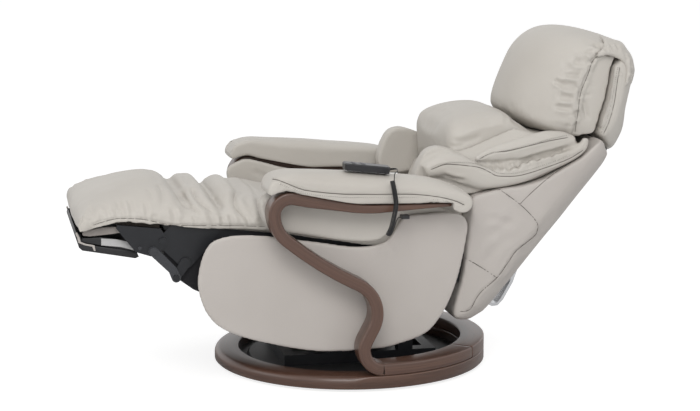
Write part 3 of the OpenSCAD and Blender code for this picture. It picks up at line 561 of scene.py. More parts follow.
def tube(name, path, r, mat, n=10):
    path = np.asarray(path, float)
    t = tangents(path)
    u = np.cross(t[0], (0.0, 0.0, 1.0) if abs(t[0][2]) < 0.9 else (1.0, 0.0, 0.0))
    v = []
    for i in range(len(path)):
        u = u - (u @ t[i]) * t[i]
        u /= np.linalg.norm(u)
        w = np.cross(t[i], u)
        for a in (2 * math.pi * k / n for k in range(n)):
            v.append(path[i] + r * (math.cos(a) * u + math.sin(a) * w))
    return fix_normals(new_obj(name, v, skin(len(path), n), mat))


SIDES = ((-1, "left"), (1, "right"))


def finish_piece(ob, body, slot, *nodes, pad=None):
    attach(ob, body)
    if nodes:
        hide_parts(*nodes)


# ------------------------------------------------------------------ wooden ring and arms

# outer radius, width, top and underside of the ring, thickness of the bent arm
RING_R, RING_W, RING_TOP, RING_GAP, BOW_T = 375.0, 66.0, 42.0, 8.0, 32.0
MID = RING_R - RING_W / 2


def bend(start, segs):
    """A chain of (turn in degrees, radius) or (0, length); returns rows of x, z, heading."""
    x, z, h = start
    out = []
    for turn, r in segs:
        if turn == 0:
            c, s = math.cos(math.radians(h)), math.sin(math.radians(h))
            k = max(2, int(r / 9))
            out += [(x + r * i / k * c, z + r * i / k * s, h) for i in range(k)]
            x, z = x + r * c, z + r * s
        else:
            k = max(2, int(abs(turn) / 3.0))
            r = math.copysign(r, turn)
            c, s = math.cos(math.radians(h)), math.sin(math.radians(h))
            row = [(x + r * (math.sin(math.radians(g)) - s), z - r * (math.cos(math.radians(g)) - c), g)
                   for g in (h + turn * i / k for i in range(k + 1))]
            out += row[:-1]
            x, z, h = row[-1]
    out.append((x, z, h))
    return np.array(out)


BOW = bend((15.0, RING_TOP + BOW_T / 2, 180.0), [(-118, 52), (0, 38), (91, 85), (0, 12), (-13, 950), (-50, 88),
                                                 (-102, 42), (0, 130), (12, 450), (0, 164), (0, 26)])
FOOT_Z = RING_TOP + BOW_T / 2
WOOD_EASE = 0.0055


def arc_path(a0, a1, z, n):
    return np.array([(MID * math.cos(math.radians(a)), MID * math.sin(math.radians(a)), z)
                     for a in np.linspace(a0, a1, n)]) / 1000


def bows():
    """Each arm is one bent bar: an arc on the ring, the S and the rail that thins out at its rear end."""
    sec = round_rect(RING_W / 1000, BOW_T / 1000, WOOD_EASE, 4)
    for s, label in SIDES:
        p = np.array([(x, s * MID, z) for x, z, _ in BOW]) / 1000
        foot = arc_path(s * 40.0, s * 90.0, FOOT_Z, 40)[:-1]
        path = np.vstack([foot, [[0.005, s * MID / 1000, FOOT_Z / 1000]], p])
        side = np.tile((0.0, 1.0, 0.0), (len(path), 1))
        side[:len(foot)] = foot * (s, s, 0)
        n = len(path)

        def taper(u):
            k = min(1.0, (1 - u) * n / 34)
            q = sec.copy()
            q[:, 1] = q[:, 1] * (0.25 + 0.75 * k)
            q[:, 1] += (1 - k) * 0.008
            return q
        finish_piece(sweep("arm_wood_" + label, path, side, sec, taper), "turntable", "walnut", "bow_" + label)


def ring():
    """The ring's top edge is eased a little at the front and rounded generously at the rear."""
    z0, z1 = RING_GAP / 1000, RING_TOP / 1000
    ri, ro = (RING_R - RING_W) / 1000, RING_R / 1000
    n = 180
    v, f, g = [], [], []
    for i in range(n):
        a = 2 * math.pi * i / n
        deg = math.degrees(a)
        deg = deg - 360 if deg > 180 else deg
        r = 0.003 + 0.013 * smooth(min(1.0, max(0.0, (abs(deg) - 92) / 10)))
        prof = [(ri + 0.001, z0), (ro - 0.003, z0), (ro, z0 + 0.003)]
        prof += [(ro - r + r * math.cos(t), z1 - r + r * math.sin(t)) for t in map(math.radians,
            range(0, 91, 15))]
        prof += [(ri + 0.003 - 0.003 * math.sin(t), z1 - 0.003 + 0.003 * math.cos(t))
                 for t in map(math.radians, range(0, 91, 30))]
        prof += [(ri, z0 + 0.001)]
        for q, z in prof:
            v.append((q * math.cos(a), q * math.sin(a), z))
            g.append((a * MID / 1000, z, q - ri))
    m = len(prof)
    for i in range(n):
        k = (i + 1) % n
        f += [(i * m + j, i * m + (j + 1) % m, k * m + (j + 1) % m, k * m + j) for j in range(m)]
    ob = fix_normals(new_obj("ring_wood", v, f, WALNUT))
    add_grain(ob, g)
    finish_piece(ob, "turntable", "walnut", "base_ring")
    path = arc_path(-39.9, 39.9, FOOT_Z, 60)
    arc = sweep("rear_arc_wood", path, path * (1, 1, 0), round_rect(RING_W / 1000, BOW_T / 1000, 0.004, 3))
    finish_piece(arc, "turntable", "walnut", "rear_arc")


bows()
ring()

# ------------------------------------------------------------------ handset cord


def curly_cord():
    """Coiled cord of the handset: a lead, close turns and a tail that rises to the clip under the rail."""
    r, turns, per, wire = 5.25, 52, 14, 2.5
    axis = curve2d([(27, -402, 560), (33, -402, 530), (37, -402, 498), (32, -402, 468), (25, -402, 440),
                    (16, -402, 420)], 30, False)
    s = np.r_[0, np.cumsum(np.linalg.norm(np.diff(axis, axis=0), axis=1))]
    t = np.linspace(0, 1, turns * per + 5)
    c = np.stack([np.interp(t * s[-1], s, axis[:, k]) for k in range(3)], 1)
    d = tangents(c)
    u = np.cross((0, 1, 0), d)
    u *= np.sign(u[:, :1])
    u /= np.linalg.norm(u, axis=1)[:, None]
    w = np.cross(d, u)
    w *= np.sign(w[:, 1:2])
    ph = -t * 2 * math.pi * (turns + 0.63)
    coil = c + r * (np.cos(ph)[:, None] * u + np.sin(ph)[:, None] * w)
    a, b = coil[0], coil[-1]
    ta, tb = coil[0] - coil[1], coil[-1] - coil[-2]
    ta, tb = ta / np.linalg.norm(ta), tb / np.linalg.norm(tb)

    def quarter(p, tan, up, rad):
        g = np.linspace(0, math.pi / 2, 9)[1:]
        return [p + rad * (math.sin(x) * tan + (1 - math.cos(x)) * np.array(up)) for x in g]
    top = quarter(a, ta, (0.05, 0.0, 1.0), 7.0)
    e = top[-1]
    lead = curve2d([(35.5, -335, 579), (43, -341, 581), (48, -356, 583), (47.5, -371, 582.5), (44, -383, 580),
                    e + (3, 4.5, 9), e + (0.3, 0.4, 3), e], 6, False)
    low = quarter(b, tb, (0.35, 0.45, -0.25), 9.0)[:3]
    q = low[-1]
    tail = curve2d([q, q + tb * 5 + (0, 0, -1), (27, -385, 416), (35, -378, 426), (41, -372, 437),
                    (46, -367, 448), (51, -363, 455.5),
                    (55.5, -362, 457.5), (59.5, -362, 457.5)], 5, False)
    path = np.vstack([lead[:-1], top[::-1], coil, low[:-1], tail]) / 1000
    keep = np.r_[True, np.linalg.norm(np.diff(path, axis=0), axis=1) > 1e-4]
    path = path[keep]
    ob = tube("curly_cord_soft", path, wire / 2000, CABLE, 8)
    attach(ob, "turntable")
    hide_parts("handset_lead", "curly_cord", "cord_tail")
    # tapered strain relief where the lead leaves the handset
    boot = tube("cord_boot", path[:14:2], 0.0032, RUBBER, 10)
    co = co_of(boot)
    k = np.clip(np.linalg.norm(co - path[0], axis=1) / np.linalg.norm(path[12] - path[0]), 0, 1)
    cl = np.array([path[np.argmin(np.linalg.norm(path[:20] - q, axis=1))] for q in co])
    put(boot, cl + (co - cl) * (1 - 0.5 * k)[:, None])
    finish_piece(boot, "handset", "rubber")


curly_cord()

# ------------------------------------------------------------------ soft goods: helpers

EYE = Vector(scene.camera.location)
SEEN_WITHIN = 0.14


def dome(u, p):
    """Superellipse: 1 in the middle, 0 at u = 1."""
    return max(0.0, 1 - min(1.0, abs(u)) ** p) ** (1 / p)


def lathe(profile, n):
    """A turned form: (radius, height) points in mm spun about the z axis."""
    turn = [2 * math.pi * j / n for j in range(n)]
    return [(r * math.cos(a), r * math.sin(a), z) for r, z in profile for a in turn], skin(len(profile), n)


def spread(a, b, n=18):
    """Stations from a to b, closer together at both ends."""
    return [(a + b) / 2 - (b - a) / 2 * math.cos(math.pi * i / n) for i in range(n + 1)]


def loft(ys, fn, k):
    """A closed skin through side outlines fn(y), in mm."""
    rings = [curve2d(fn(y), k) for y in ys]
    return [(x, y, z) for y, r in zip(ys, rings) for x, z in r], skin(len(rings), len(rings[0]))


def rope(p, r, n=14, deep=None, full=1.0):
    """A roll of changing radius through points in mm; deep is its radius across y, full < 1 squares it."""
    p = curve2d(p, 5, False)
    at = np.linspace(0, 1, len(p))
    deep = np.interp(at, np.linspace(0, 1, len(deep or r)), deep or r)
    r = np.interp(at, np.linspace(0, 1, len(r)), r)
    t = tangents(p)
    v = []
    for i in range(len(p)):
        u = np.cross(t[i], (0, 1, 0))
        u /= np.linalg.norm(u)
        w = np.cross(t[i], u)
        for a in (2 * math.pi * j / n for j in range(n)):
            c, d = (math.copysign(abs(g) ** full, g) for g in (math.cos(a), math.sin(a)))
            v.append(p[i] + r[i] * c * u + deep[i] * d * w)
    return v, skin(len(p), n)


def flip(part):
    v, f = part
    return [(x, -y, z) for x, y, z in v], f


def hold(ob, m, fn):
    """Keep a piece clear of its neighbours: fn changes its points in the local frame, in mm."""
    lo = local(m, co_of(ob))
    fn(lo)
    put(ob, pts(m, lo))


def x_at(lo, line):
    """At each point's height, the x of a line drawn in the side plane."""
    line = np.array(line)
    return np.interp(lo[:, 2], line[:, 1], line[:, 0])


def between(lo, y0, y1):
    """Keep the points of a piece on one side between two distances from the middle plane."""
    lo[:, 1] = np.sign(lo[:, 1]) * np.clip(np.abs(lo[:, 1]), y0, y1)


def refine(ob):
    mod = ob.modifiers.new("sub", "SUBSURF")
    mod.levels = mod.render_levels = 1
    bake(ob)
    relax(ob, 2)


def seen(ob, m, y, line, lift=0.0):
    """Drop a line, drawn in the side plane y of a local frame, onto a piece as the camera sees it;
    returns points and normals."""
    tree = BVHTree.FromObject(ob, bpy.context.evaluated_depsgraph_get())
    out = []
    for x, z in curve2d(line, 5, False):
        w = Vector(pts(m, (x, y, z))[0])
        hit, n, _, _ = tree.ray_cast(EYE, (w - EYE).normalized())
        if hit is not None and (hit - w).length < SEEN_WITHIN:
            out.append((np.array(hit + n * lift), np.array(n)))
    return out


def drawn(ob, m, y, *lines):
    """The points alone of one or more lines dropped onto a piece."""
    return [track(seen(ob, m, y, q)) for q in lines]


def track(hits):
    return np.array([h[0] for h in hits])


def nearest(p, line):
    """Distance to a line in space, share of the way along it, offset from it, and the line's length."""
    line = np.asarray(line, float)
    best = np.full(len(p), 1e9)
    along = np.zeros(len(p))
    off = np.zeros((len(p), 3))
    seg = np.linalg.norm(np.diff(line, axis=0), axis=1)
    tot, run = max(seg.sum(), 1e-9), 0.0
    for a, b, s in zip(line[:-1], line[1:], seg):
        d = b - a
        t = np.clip(((p - a) @ d) / max(s * s, 1e-12), 0, 1)
        o = p - (a + t[:, None] * d)
        r = np.linalg.norm(o, axis=1)
        m = r < best
        best[m], along[m], off[m] = r[m], (run + t[m] * s) / tot, o[m]
        run += s
    return best, along, off, tot


def wave(x, seed):
    """An uneven wave of mean zero, within -1 and 1."""
    return sum(np.sin(k * x + m * seed + c) for k, m, c in ((1.7, 1, 0), (2.9, 2.1, 1.3), (4.7, 3.7, 0.4))) / 3


def mirrored(both):
    return (1, -1) if both else (1,)


def close_to(co, line, margin):
    """Which points lie in a line's box, grown by a margin."""
    return np.where(np.all((co > line.min(0) - margin) & (co < line.max(0) + margin), axis=1))[0]


def press(ob, marks, both=True, taper=True):
    """Creases along lines in space: (points in metres, width in mm, depth in mm, lip)."""
    co, no = co_of(ob), no_of(ob)
    push = np.zeros(len(co))
    for line, width, depth, lip in marks:
        if len(line) < 2:
            continue
        w = width / 1000
        for s in mirrored(both):
            q = np.asarray(line) * (1, s, 1)
            sel = close_to(co, q, 4 * w)
            if len(sel):
                d, a, _, _ = nearest(co[sel], q)
                push[sel] += groove(d, a, w, depth / 1000, lip, taper)
    put(ob, co + no * push[:, None])


def gathers(ob, line, step, depth, reach, side, seed, both=True):
    """Pleats that run out from a seam to one side and fade away from it; sizes in mm."""
    if len(line) < 2:
        return
    co, no = co_of(ob), no_of(ob)
    push = np.zeros(len(co))
    reach, depth, step = reach / 1000, depth / 1000, step / 1000
    for s in mirrored(both):
        q = np.asarray(line) * (1, s, 1)
        sel = close_to(co, q, 2 * reach)
        if not len(sel):
            continue
        d, a, off, tot = nearest(co[sel], q)
        u = a * tot / step
        u = u + 0.55 * wave(u * 0.9, seed) + 0.22 * wave(d / reach * 2.4 + np.floor(u) * 1.9, seed + 1)
        amp = np.clip(0.62 + 0.55 * wave(np.round(u) * 2.3, seed + 2), 0.12, 1.2)
        fade = np.exp(-(d / (reach * (0.55 + 0.6 * amp))) ** 2) * np.clip(d / 0.003, 0.3, 1)
        fade = fade * ((off @ (np.array(side) * (1, s, 1))) > 0)
        edge = np.clip(np.minimum(a, 1 - a) * tot / 0.012, 0, 1)
        ridge = np.abs(np.sin(np.pi * u))
        push[sel] += depth * amp * fade * edge * (0.55 * ridge - (1 - ridge ** 0.55))
    put(ob, co + no * push[:, None])


def cord_lines(name, runs, body, r=0.0009, mat=SEAM_SHADE):
    """Thin dark lines of painted seam shadow along points on a surface, on both sides of the chair, as one piece.
    """
    v, f = [], []
    n = 6
    for hits in runs:
        if len(hits) < 3:
            continue
        for s in mirrored(True):
            p = track(hits) * (1, s, 1)
            t = tangents(p)
            nn = np.array([h[1] for h in hits]) * (1, s, 1)
            f += skin(len(p), n, len(v))
            for i in range(len(p)):
                w = np.cross(t[i], nn[i])
                w /= max(np.linalg.norm(w), 1e-9)
                u = np.cross(w, t[i])
                e = r * (0.35 if i in (0, len(p) - 1) else 1)
                turn = [2 * math.pi * j / n for j in range(n)]
                v += [p[i] + e * (math.cos(a) * u + math.sin(a) * w) for a in turn]
    if v:
        finish_piece(fix_normals(new_obj(name, v, f, mat)), body, "leather")


def at_y(line, y):
    """A line in the side plane y, in mm, as points in the world."""
    return np.array([(x, y, z) for x, z in curve2d(line, 4, False)]) / 1000


def thread_rows(name, runs, body):
    """Rows of pale stitches over a thin dark line of painted shade for their channel, on both sides of the chair.
    """
    cord_lines(name + "_channel_shade", [[(c - n * 0.0003, n) for c, n in h] for h in runs], body, 0.0008, STITCH_SHADE)
    for i, hits in enumerate(runs):
        stitches("%s_%d" % (name, i), hits, body)
        stitches("%s_%d_far" % (name, i), [(c * (1, -1, 1), n * (1, -1, 1)) for c, n in hits], body)


# ------------------------------------------------------------------ seat and legrest

def pair(c, e, d):
    c, e = np.asarray(c, float), np.asarray(e, float)
    return e + (c - e) * d


# the side planes, on the left, in which creases and seams are drawn
COVER_Y, PILLOW_Y, SHELL_Y, BACK_Y, ARM_Y, WING_TOP_Y, WING_LOW_Y = -250, -212, -222, -262, -386, -236, -255


def seat_cover():
    """Legrest and seat under one continuous cover that gathers into folds over the knee."""
    hw = 257.0
    top = [(-710, 12), (-708, 28), (-703, 41), (-693, 53), (-680, 62), (-664, 71), (-647, 80), (-630, 89),
           (-614, 96), (-603, 103), (-589, 109), (-570, 116), (-545, 123), (-520, 127), (-500, 128),
           (-482, 124), (-468, 114), (-458, 103), (-452, 97), (-445, 103), (-433, 116), (-419, 124),
           (-401, 127), (-387, 123), (-374, 113), (-365, 102), (-359, 96), (-352, 103), (-341, 119),
           (-329, 129), (-316, 132), (-302, 129), (-289, 122), (-278, 117), (-264, 121), (-250, 122),
           (-204, 114), (-130, 107), (-64, 100), (10, 92), (76, 84), (130, 78), (166, 70)]
    rear = [(186, 58), (188, 46), (178, 38)]
    inner = [(60, 37), (-120, 37), (-300, 37), (-420, 37), (-500, 36.8), (-600, 36.8), (-694, 36.8), (-695, 0)]
    outer = [(60, 44), (-120, 42), (-262, 40), (-400, 31), (-500, 31), (-593, 35), (-640, 22), (-686, 1)]
    corner = inner[:5] + [(-597, 36.8), (-640, 22), (-686, 1)]
    front = [(-697, -8), (-706, -3), (-710, 3)]

    def fn(y):
        u = abs(y) / hw
        t = np.array(top, float)
        soft = np.clip((-150 - t[:, 0]) / 180, 0, 1)
        tip = np.clip((-610 - t[:, 0]) / 60, 0, 1)
        d = np.array([dome(u, 3.4 - 1.1 * k + 1.7 * e) for k, e in zip(soft, tip)])
        z0 = t[:, 1].copy()
        foot = np.interp(t[:, 0], [-715, -690, -650, -600, -550], [2, 10, 26, 38, 46])
        t[:, 1] = foot + (t[:, 1] - foot) * d
        lobes = np.clip((t[:, 0] + 600) / 90, 0, 1) * np.clip((-250 - t[:, 0]) / 60, 0, 1)
        t[:, 0] += lobes * 0.62 * np.minimum(z0 - t[:, 1], 60)
        fx = 22 * (1 - dome(u, 4.0))
        t[:, 0] += fx * np.clip((-590 - t[:, 0]) / 100, 0, 1)
        fr = np.array(front, float) + (fx, 0)
        fr[:, 1] = np.where(fr[:, 1] > 0, fr[:, 1] * d[0], fr[:, 1])
        lo = np.array(inner if abs(y) < 227 else corner if abs(y) < 243 else outer, float)
        lo[:, 0] += fx * np.clip((-640 - lo[:, 0]) / 60, 0, 1)
        return np.vstack([t, rear, lo, fr])
    ys = sorted(spread(-hw, hw, 26) + [s * y for s in (-1, 1) for y in (226.4, 227.6, 242.4, 243.6)])
    ob = body_mesh("seat_and_legrest_cover", [loft(ys, fn, 3)], SEAT, LEATHER, 0.0068, 2)
    puff(ob, 3.5, 0.005, 0.002)

    def clear(lo):
        # inside are the legrest's board, and behind x = -606 its brackets and pushrods at both sides
        mid = np.abs(lo[:, 1]) < np.where(lo[:, 0] < -606, 226, 243.2)
        m = mid & (lo[:, 0] > -693.5) & (lo[:, 2] < 36.5)
        ahead = lo[:, 0] + 693.5 < 36.5 - lo[:, 2]
        lo[m & ahead, 0] = -693.7
        lo[m & ~ahead, 2] = 36.5
        lo[:, 0] = np.clip(lo[:, 0], -721, 192)
        side = ~mid & (np.abs(lo[:, 1]) < 249) & (lo[:, 2] < 37)
        lo[side, 1] = np.sign(lo[side, 1]) * 248.6
        lo[:, 1] = np.clip(lo[:, 1], -258.6, 258.6)
    hold(ob, SEAT, clear)
    refine(ob)

    marks = []
    for line, w, d in (([(-490, 156), (-471, 142), (-454, 124), (-437, 107), (-418, 86)], 12, 7),
                       ([(-521, 152), (-503, 127), (-497, 104), (-499, 82)], 11, 3.5),
                       ([(-408, 156), (-426, 145), (-422, 131), (-407, 112), (-382, 95), (-352, 76)], 12, 8),
                       ([(-459, 104), (-435, 91), (-415, 85), (-390, 70)], 7, 4),
                       ([(-349, 174), (-326, 161), (-310, 140), (-312, 117), (-298, 95), (-272, 72)], 11, 8),
                       ([(-254, 130), (-246, 104), (-228, 68)], 8, 5),
                       ([(-376, 132), (-362, 110), (-338, 88)], 8, 4),
                       ([(-540, 128), (-528, 112), (-522, 92)], 8, 2.2)):
        h, = drawn(ob, SEAT, COVER_Y, line)
        if len(h) < 3:
            continue
        marks += [(h, w, d, 0.2), (h, w * 0.35, d * 0.45, 0.1)]
        a = h[0]
        if abs(a[1]) < 0.22 and d > 3:
            across = np.array([(a[0], a[1] - 2 * a[1] * k, a[2]) for k in np.linspace(0, 1, 9)])
            marks.append((across, w * 0.9, d * 0.4, 0.1))
    for i, (p, q) in enumerate((((-690, 50), (-672, 16)), ((-676, 72), (-660, 28)), ((-657, 60), (-645, 31)),
                                ((-641, 78), (-624, 37)), ((-618, 66), (-607, 39)), ((-607, 88), (-584, 42)),
                                ((-585, 96), (-568, 42)), ((-556, 68), (-545, 40)), ((-541, 92), (-533, 40)),
                                ((-515, 64), (-506, 38)), ((-472, 86), (-457, 36)), ((-442, 62), (-433, 36)),
                                ((-416, 70), (-404, 38)), ((-374, 86), (-352, 44)), ((-343, 70), (-333, 46)),
                                ((-318, 78), (-305, 49)), ((-290, 90), (-264, 50)), ((-236, 80), (-226, 52)))):
        # short tucks that rise from the hem, bowed to the left and right in turn
        bow = 3 - 6 * (i % 2)
        mid = [(p[0] * k + q[0] * (1 - k) + bow, p[1] * k + q[1] * (1 - k)) for k in (0.66, 0.33)]
        marks.append((*drawn(ob, SEAT, COVER_Y, [p, *mid, q]), 5.5 + (i * 3) % 4, 2.6 + 0.5 * (i * 7 % 4),
                      0.45))
    press(ob, marks)
    lumps(ob, 0.11, 0.0026, 3.1)
    lumps(ob, 0.045, 0.0009, 7.7)
    hold(ob, SEAT, clear)
    line = [(-668, 20), (-640, 32), (-604, 43), (-560, 46), (-529, 45), (-468, 38), (-397, 42), (-301, 50),
            (-225, 54)]
    hem = seen(ob, SEAT, COVER_Y, line, lift=-0.0003)
    press(ob, [(track(hem), 4, 2.0, 0.5)], taper=False)
    hem = seen(ob, SEAT, COVER_Y, line, lift=0.0001)
    knee = pts(SEAT, [(-455, 0, 0)])[0][0]
    # painted seam shadow along the hem
    cord_lines("hem_seam_shade_legrest", [[h for h in hem if h[0][0] < knee]], "legrest", 0.0007)
    cord_lines("hem_seam_shade_seat", [[h for h in hem if h[0][0] >= knee]], "seat", 0.0007)
    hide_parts("legrest_cushion", "seat_cushion")
    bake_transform(ob)


def edged(name, part, mat, width):
    """Flat-sided mesh in seat coordinates, with all its edges eased."""
    v, f = part
    ob = fix_normals(new_obj(name, pts(SEAT, v), f, mat, False))
    mod = ob.modifiers.new("ease", "BEVEL")
    mod.width = width
    mod.segments = 2
    return bake(ob)


def slab(name, poly, y0, y1, mat, body, slot, width):
    """A thin flat piece, on both sides of the chair."""
    finish_piece(edged(name, joined([prism(poly, s * y0, s * y1) for s in (-1, 1)]), mat, width), body, slot)


def foot_tray():
    """The ribbed pan under the legrest, hung on two rail blocks."""
    end = [(-702, -16), (-703, -26), (-693, -49), (-684, -56), (-546, -65), (-537, -60), (-545, -46),
           (-640, -42), (-676, -40), (-686, -33), (-695, -14)]
    sheet = end[:6] + [(-540, -58), (-547, -62), (-683, -53), (-690, -47), (-700, -25), (-699, -16)]
    rib = [(-699, -24), (-690, -46), (-683, -52), (-548, -61), (-546, -48), (-640, -44), (-676, -42),
           (-688, -35)]
    bar = [(-688, -24), (-640, -17), (-551, -20), (-548, -46), (-600, -42), (-686, -34)]
    block = [(-640, -52), (-565, -57), (-565, 20), (-640, 20)]
    foot = [(-640, 15.6), (-565, 15.6), (-565, 20.4), (-640, 20.4)]
    shells = [prism(sheet, -202.6, 202.6)] + [prism(rib, 45 * i - 1.2, 45 * i + 1.2) for i in range(-4, 5)]
    for s in (-1, 1):
        shells += [prism(end, s * 202.6, s * 205), prism(bar, s * 202.6, s * 204.8),
                   prism(block, s * 106.6, s * 113.4),
                   prism(foot, s * 101.6, s * 118.4)]
    finish_piece(edged("tray_pan", joined(shells), BLACK_PLASTIC, 0.0008), "tray", "black_plastic", "foot_tray")


def under_legrest():
    """The cover's lining, in a darker leather that is painted shade under the legrest, and the bare strip and
    strap on the foot tray's sides.
    """
    slab("cover_lining", [(-690, -4), (-677, 2), (-640, 12), (-600, 17), (-571, 17), (-569, 7), (-620, -5),
                          (-671, -15), (-688, -14)],
         216, 222, LINING_SHADED, "legrest", "leather", 0.002)
    slab("side_strip", [(-639, -20), (-600, -19), (-575, -22), (-552, -27), (-551, -44), (-587, -38),
                        (-637, -38)],
         205.3, 206.1, LABEL, "tray", "black_plastic", 0.0003)
    slab("tray_strap", [(-706, -12), (-700, -24), (-696, -36), (-680, -41), (-660, -43), (-654, -54),
                        (-650, -54), (-654, -39), (-676, -37), (-690, -33), (-694, -22),
                        (-702, -9)], 205.4, 207.6, LEATHER_SHADED, "tray", "leather",
                        0.0006)


# ------------------------------------------------------------------ head

HEAD_IN = [(-56, 427), (-69, 440), (-84, 467), (-101, 513), (-113, 560), (-118, 588), (-118, 618), (-110, 653),
           (-91, 687), (-59, 717), (-20, 741), (26, 760)]
HEAD_SEAM = [(86, 482), (84, 508), (69, 538), (54, 561), (40, 583), (31, 610), (22, 636), (13, 660), (9, 680),
             (13, 695), (21, 706), (35, 713)]


# where the head pillow stands on the back pillow: x, and the height of the parting
PARTING_X, PARTING_Z = [-62, 14, 92, 142], [420, 422, 472, 500]


def head():
    hw = 213.0

    def fn(y):
        d = dome(abs(y) / hw, 2.15)
        f = pair(HEAD_IN, HEAD_SEAM, d)
        b = pair([(62, 758), (60, 735), (62, 700)], [(52, 712), (58, 706), (62, 698)], d)
        r = [(84, 660), (108, 620), (128, 570), (146, 532), (140, 515)]
        e = pair([(92, 478), (14, 428)], [(116, 492), (98, 484)], d)
        return np.vstack([f, b, r, e])
    ob = body_mesh("head_pillow", [loft(spread(-hw, hw, 26), fn, 3)], BACK, LEATHER, 0.0085)
    puff(ob, 3.5, 0.004, 0.002)

    def clear(lo):
        # behind the pillow is the padded shell of the headrest
        lim = x_at(lo, [(140, 514), (148, 529), (129, 568), (107, 620), (83, 660), (61, 700), (61, 745),
                        (66, 771)])
        rear = lo[:, 2] > 514
        lo[rear, 0] = np.minimum(lo[rear, 0], lim[rear])
        low = np.interp(lo[:, 0], [-62, 14, 92, 142], [421, 424, 474, 502])
        m = lo[:, 0] > -64
        lo[m, 2] = np.maximum(lo[m, 2], low[m])
        # the side strip behind the seam lies deeper than the pillow
        seam_x = x_at(lo, [(90, 480), (84, 508), (69, 538), (40, 583), (22, 636), (9, 680), (22, 706)])
        wide = 216 - 9 * smooth(np.clip((lo[:, 0] - seam_x - 3) / 14, 0, 1))
        lo[:, 1] = np.clip(lo[:, 1], -wide, wide)
    hold(ob, BACK, clear)
    refine(ob)
    edge = [(34, 710), (21, 706), (9, 672), (22, 636), (40, 583), (69, 538), (98, 492)]
    seam = seen(ob, BACK, PILLOW_Y, edge)
    line = track(seam)
    front = (-1, 0, 0.25)
    gathers(ob, line, 17, 4.0, 50, front, 0.7)
    gathers(ob, line, 8, 1.6, 18, front, 2.2)
    marks = []
    for i, q in enumerate(([(-15, 684), (0, 689), (15, 690)], [(-23, 652), (-10, 659), (7, 657)],
                           [(-34, 634), (-12, 643), (9, 651)], [(-30, 594), (-10, 603), (14, 618)],
                           [(-5, 621), (5, 627), (18, 632)], [(-24, 560), (3, 580), (34, 590)],
                           [(6, 510), (36, 528), (50, 543)], [(52, 526), (62, 530), (73, 536)],
                           [(-44, 612), (-15, 614), (4, 624)], [(-42, 562), (-28, 565), (-12, 570)],
                           [(-4, 668), (4, 672), (11, 675)], [(-22, 706), (-4, 708), (17, 709)],
                           [(-24, 676), (-10, 680), (4, 682)], [(-2, 540), (14, 548), (34, 560)])):
        marks.append((*drawn(ob, BACK, PILLOW_Y, q), 6 + i % 3, 4.4 + (i * 5 % 4) * 0.6, 0.7))
    press(ob, marks)
    strip = (([(30, 622), (44, 622), (58, 619)], 6, 5), ([(41, 583), (58, 589), (68, 599)], 6, 6),
             ([(51, 578), (78, 560), (108, 538)], 9, 7), ([(70, 533), (80, 532), (92, 529)], 6, 5),
             ([(36, 660), (30, 640), (36, 612)], 9, 5))
    press(ob, [(*drawn(ob, BACK, PILLOW_Y + 2, q), w, d, 0.6) for q, w, d in strip])
    press(ob, [(line, 7, 5.0, 0.8), (line, 2.6, 2.0, 0.1)], taper=False)
    lumps(ob, 0.10, 0.0018, 5.0)
    hold(ob, BACK, clear)
    seam = seen(ob, BACK, PILLOW_Y, edge, lift=0.0001)
    cord_lines("head_seam_shade", [seam], "headrest", 0.0008)
    finish_piece(ob, "headrest", "leather", "head_cushion", pad=0.85)


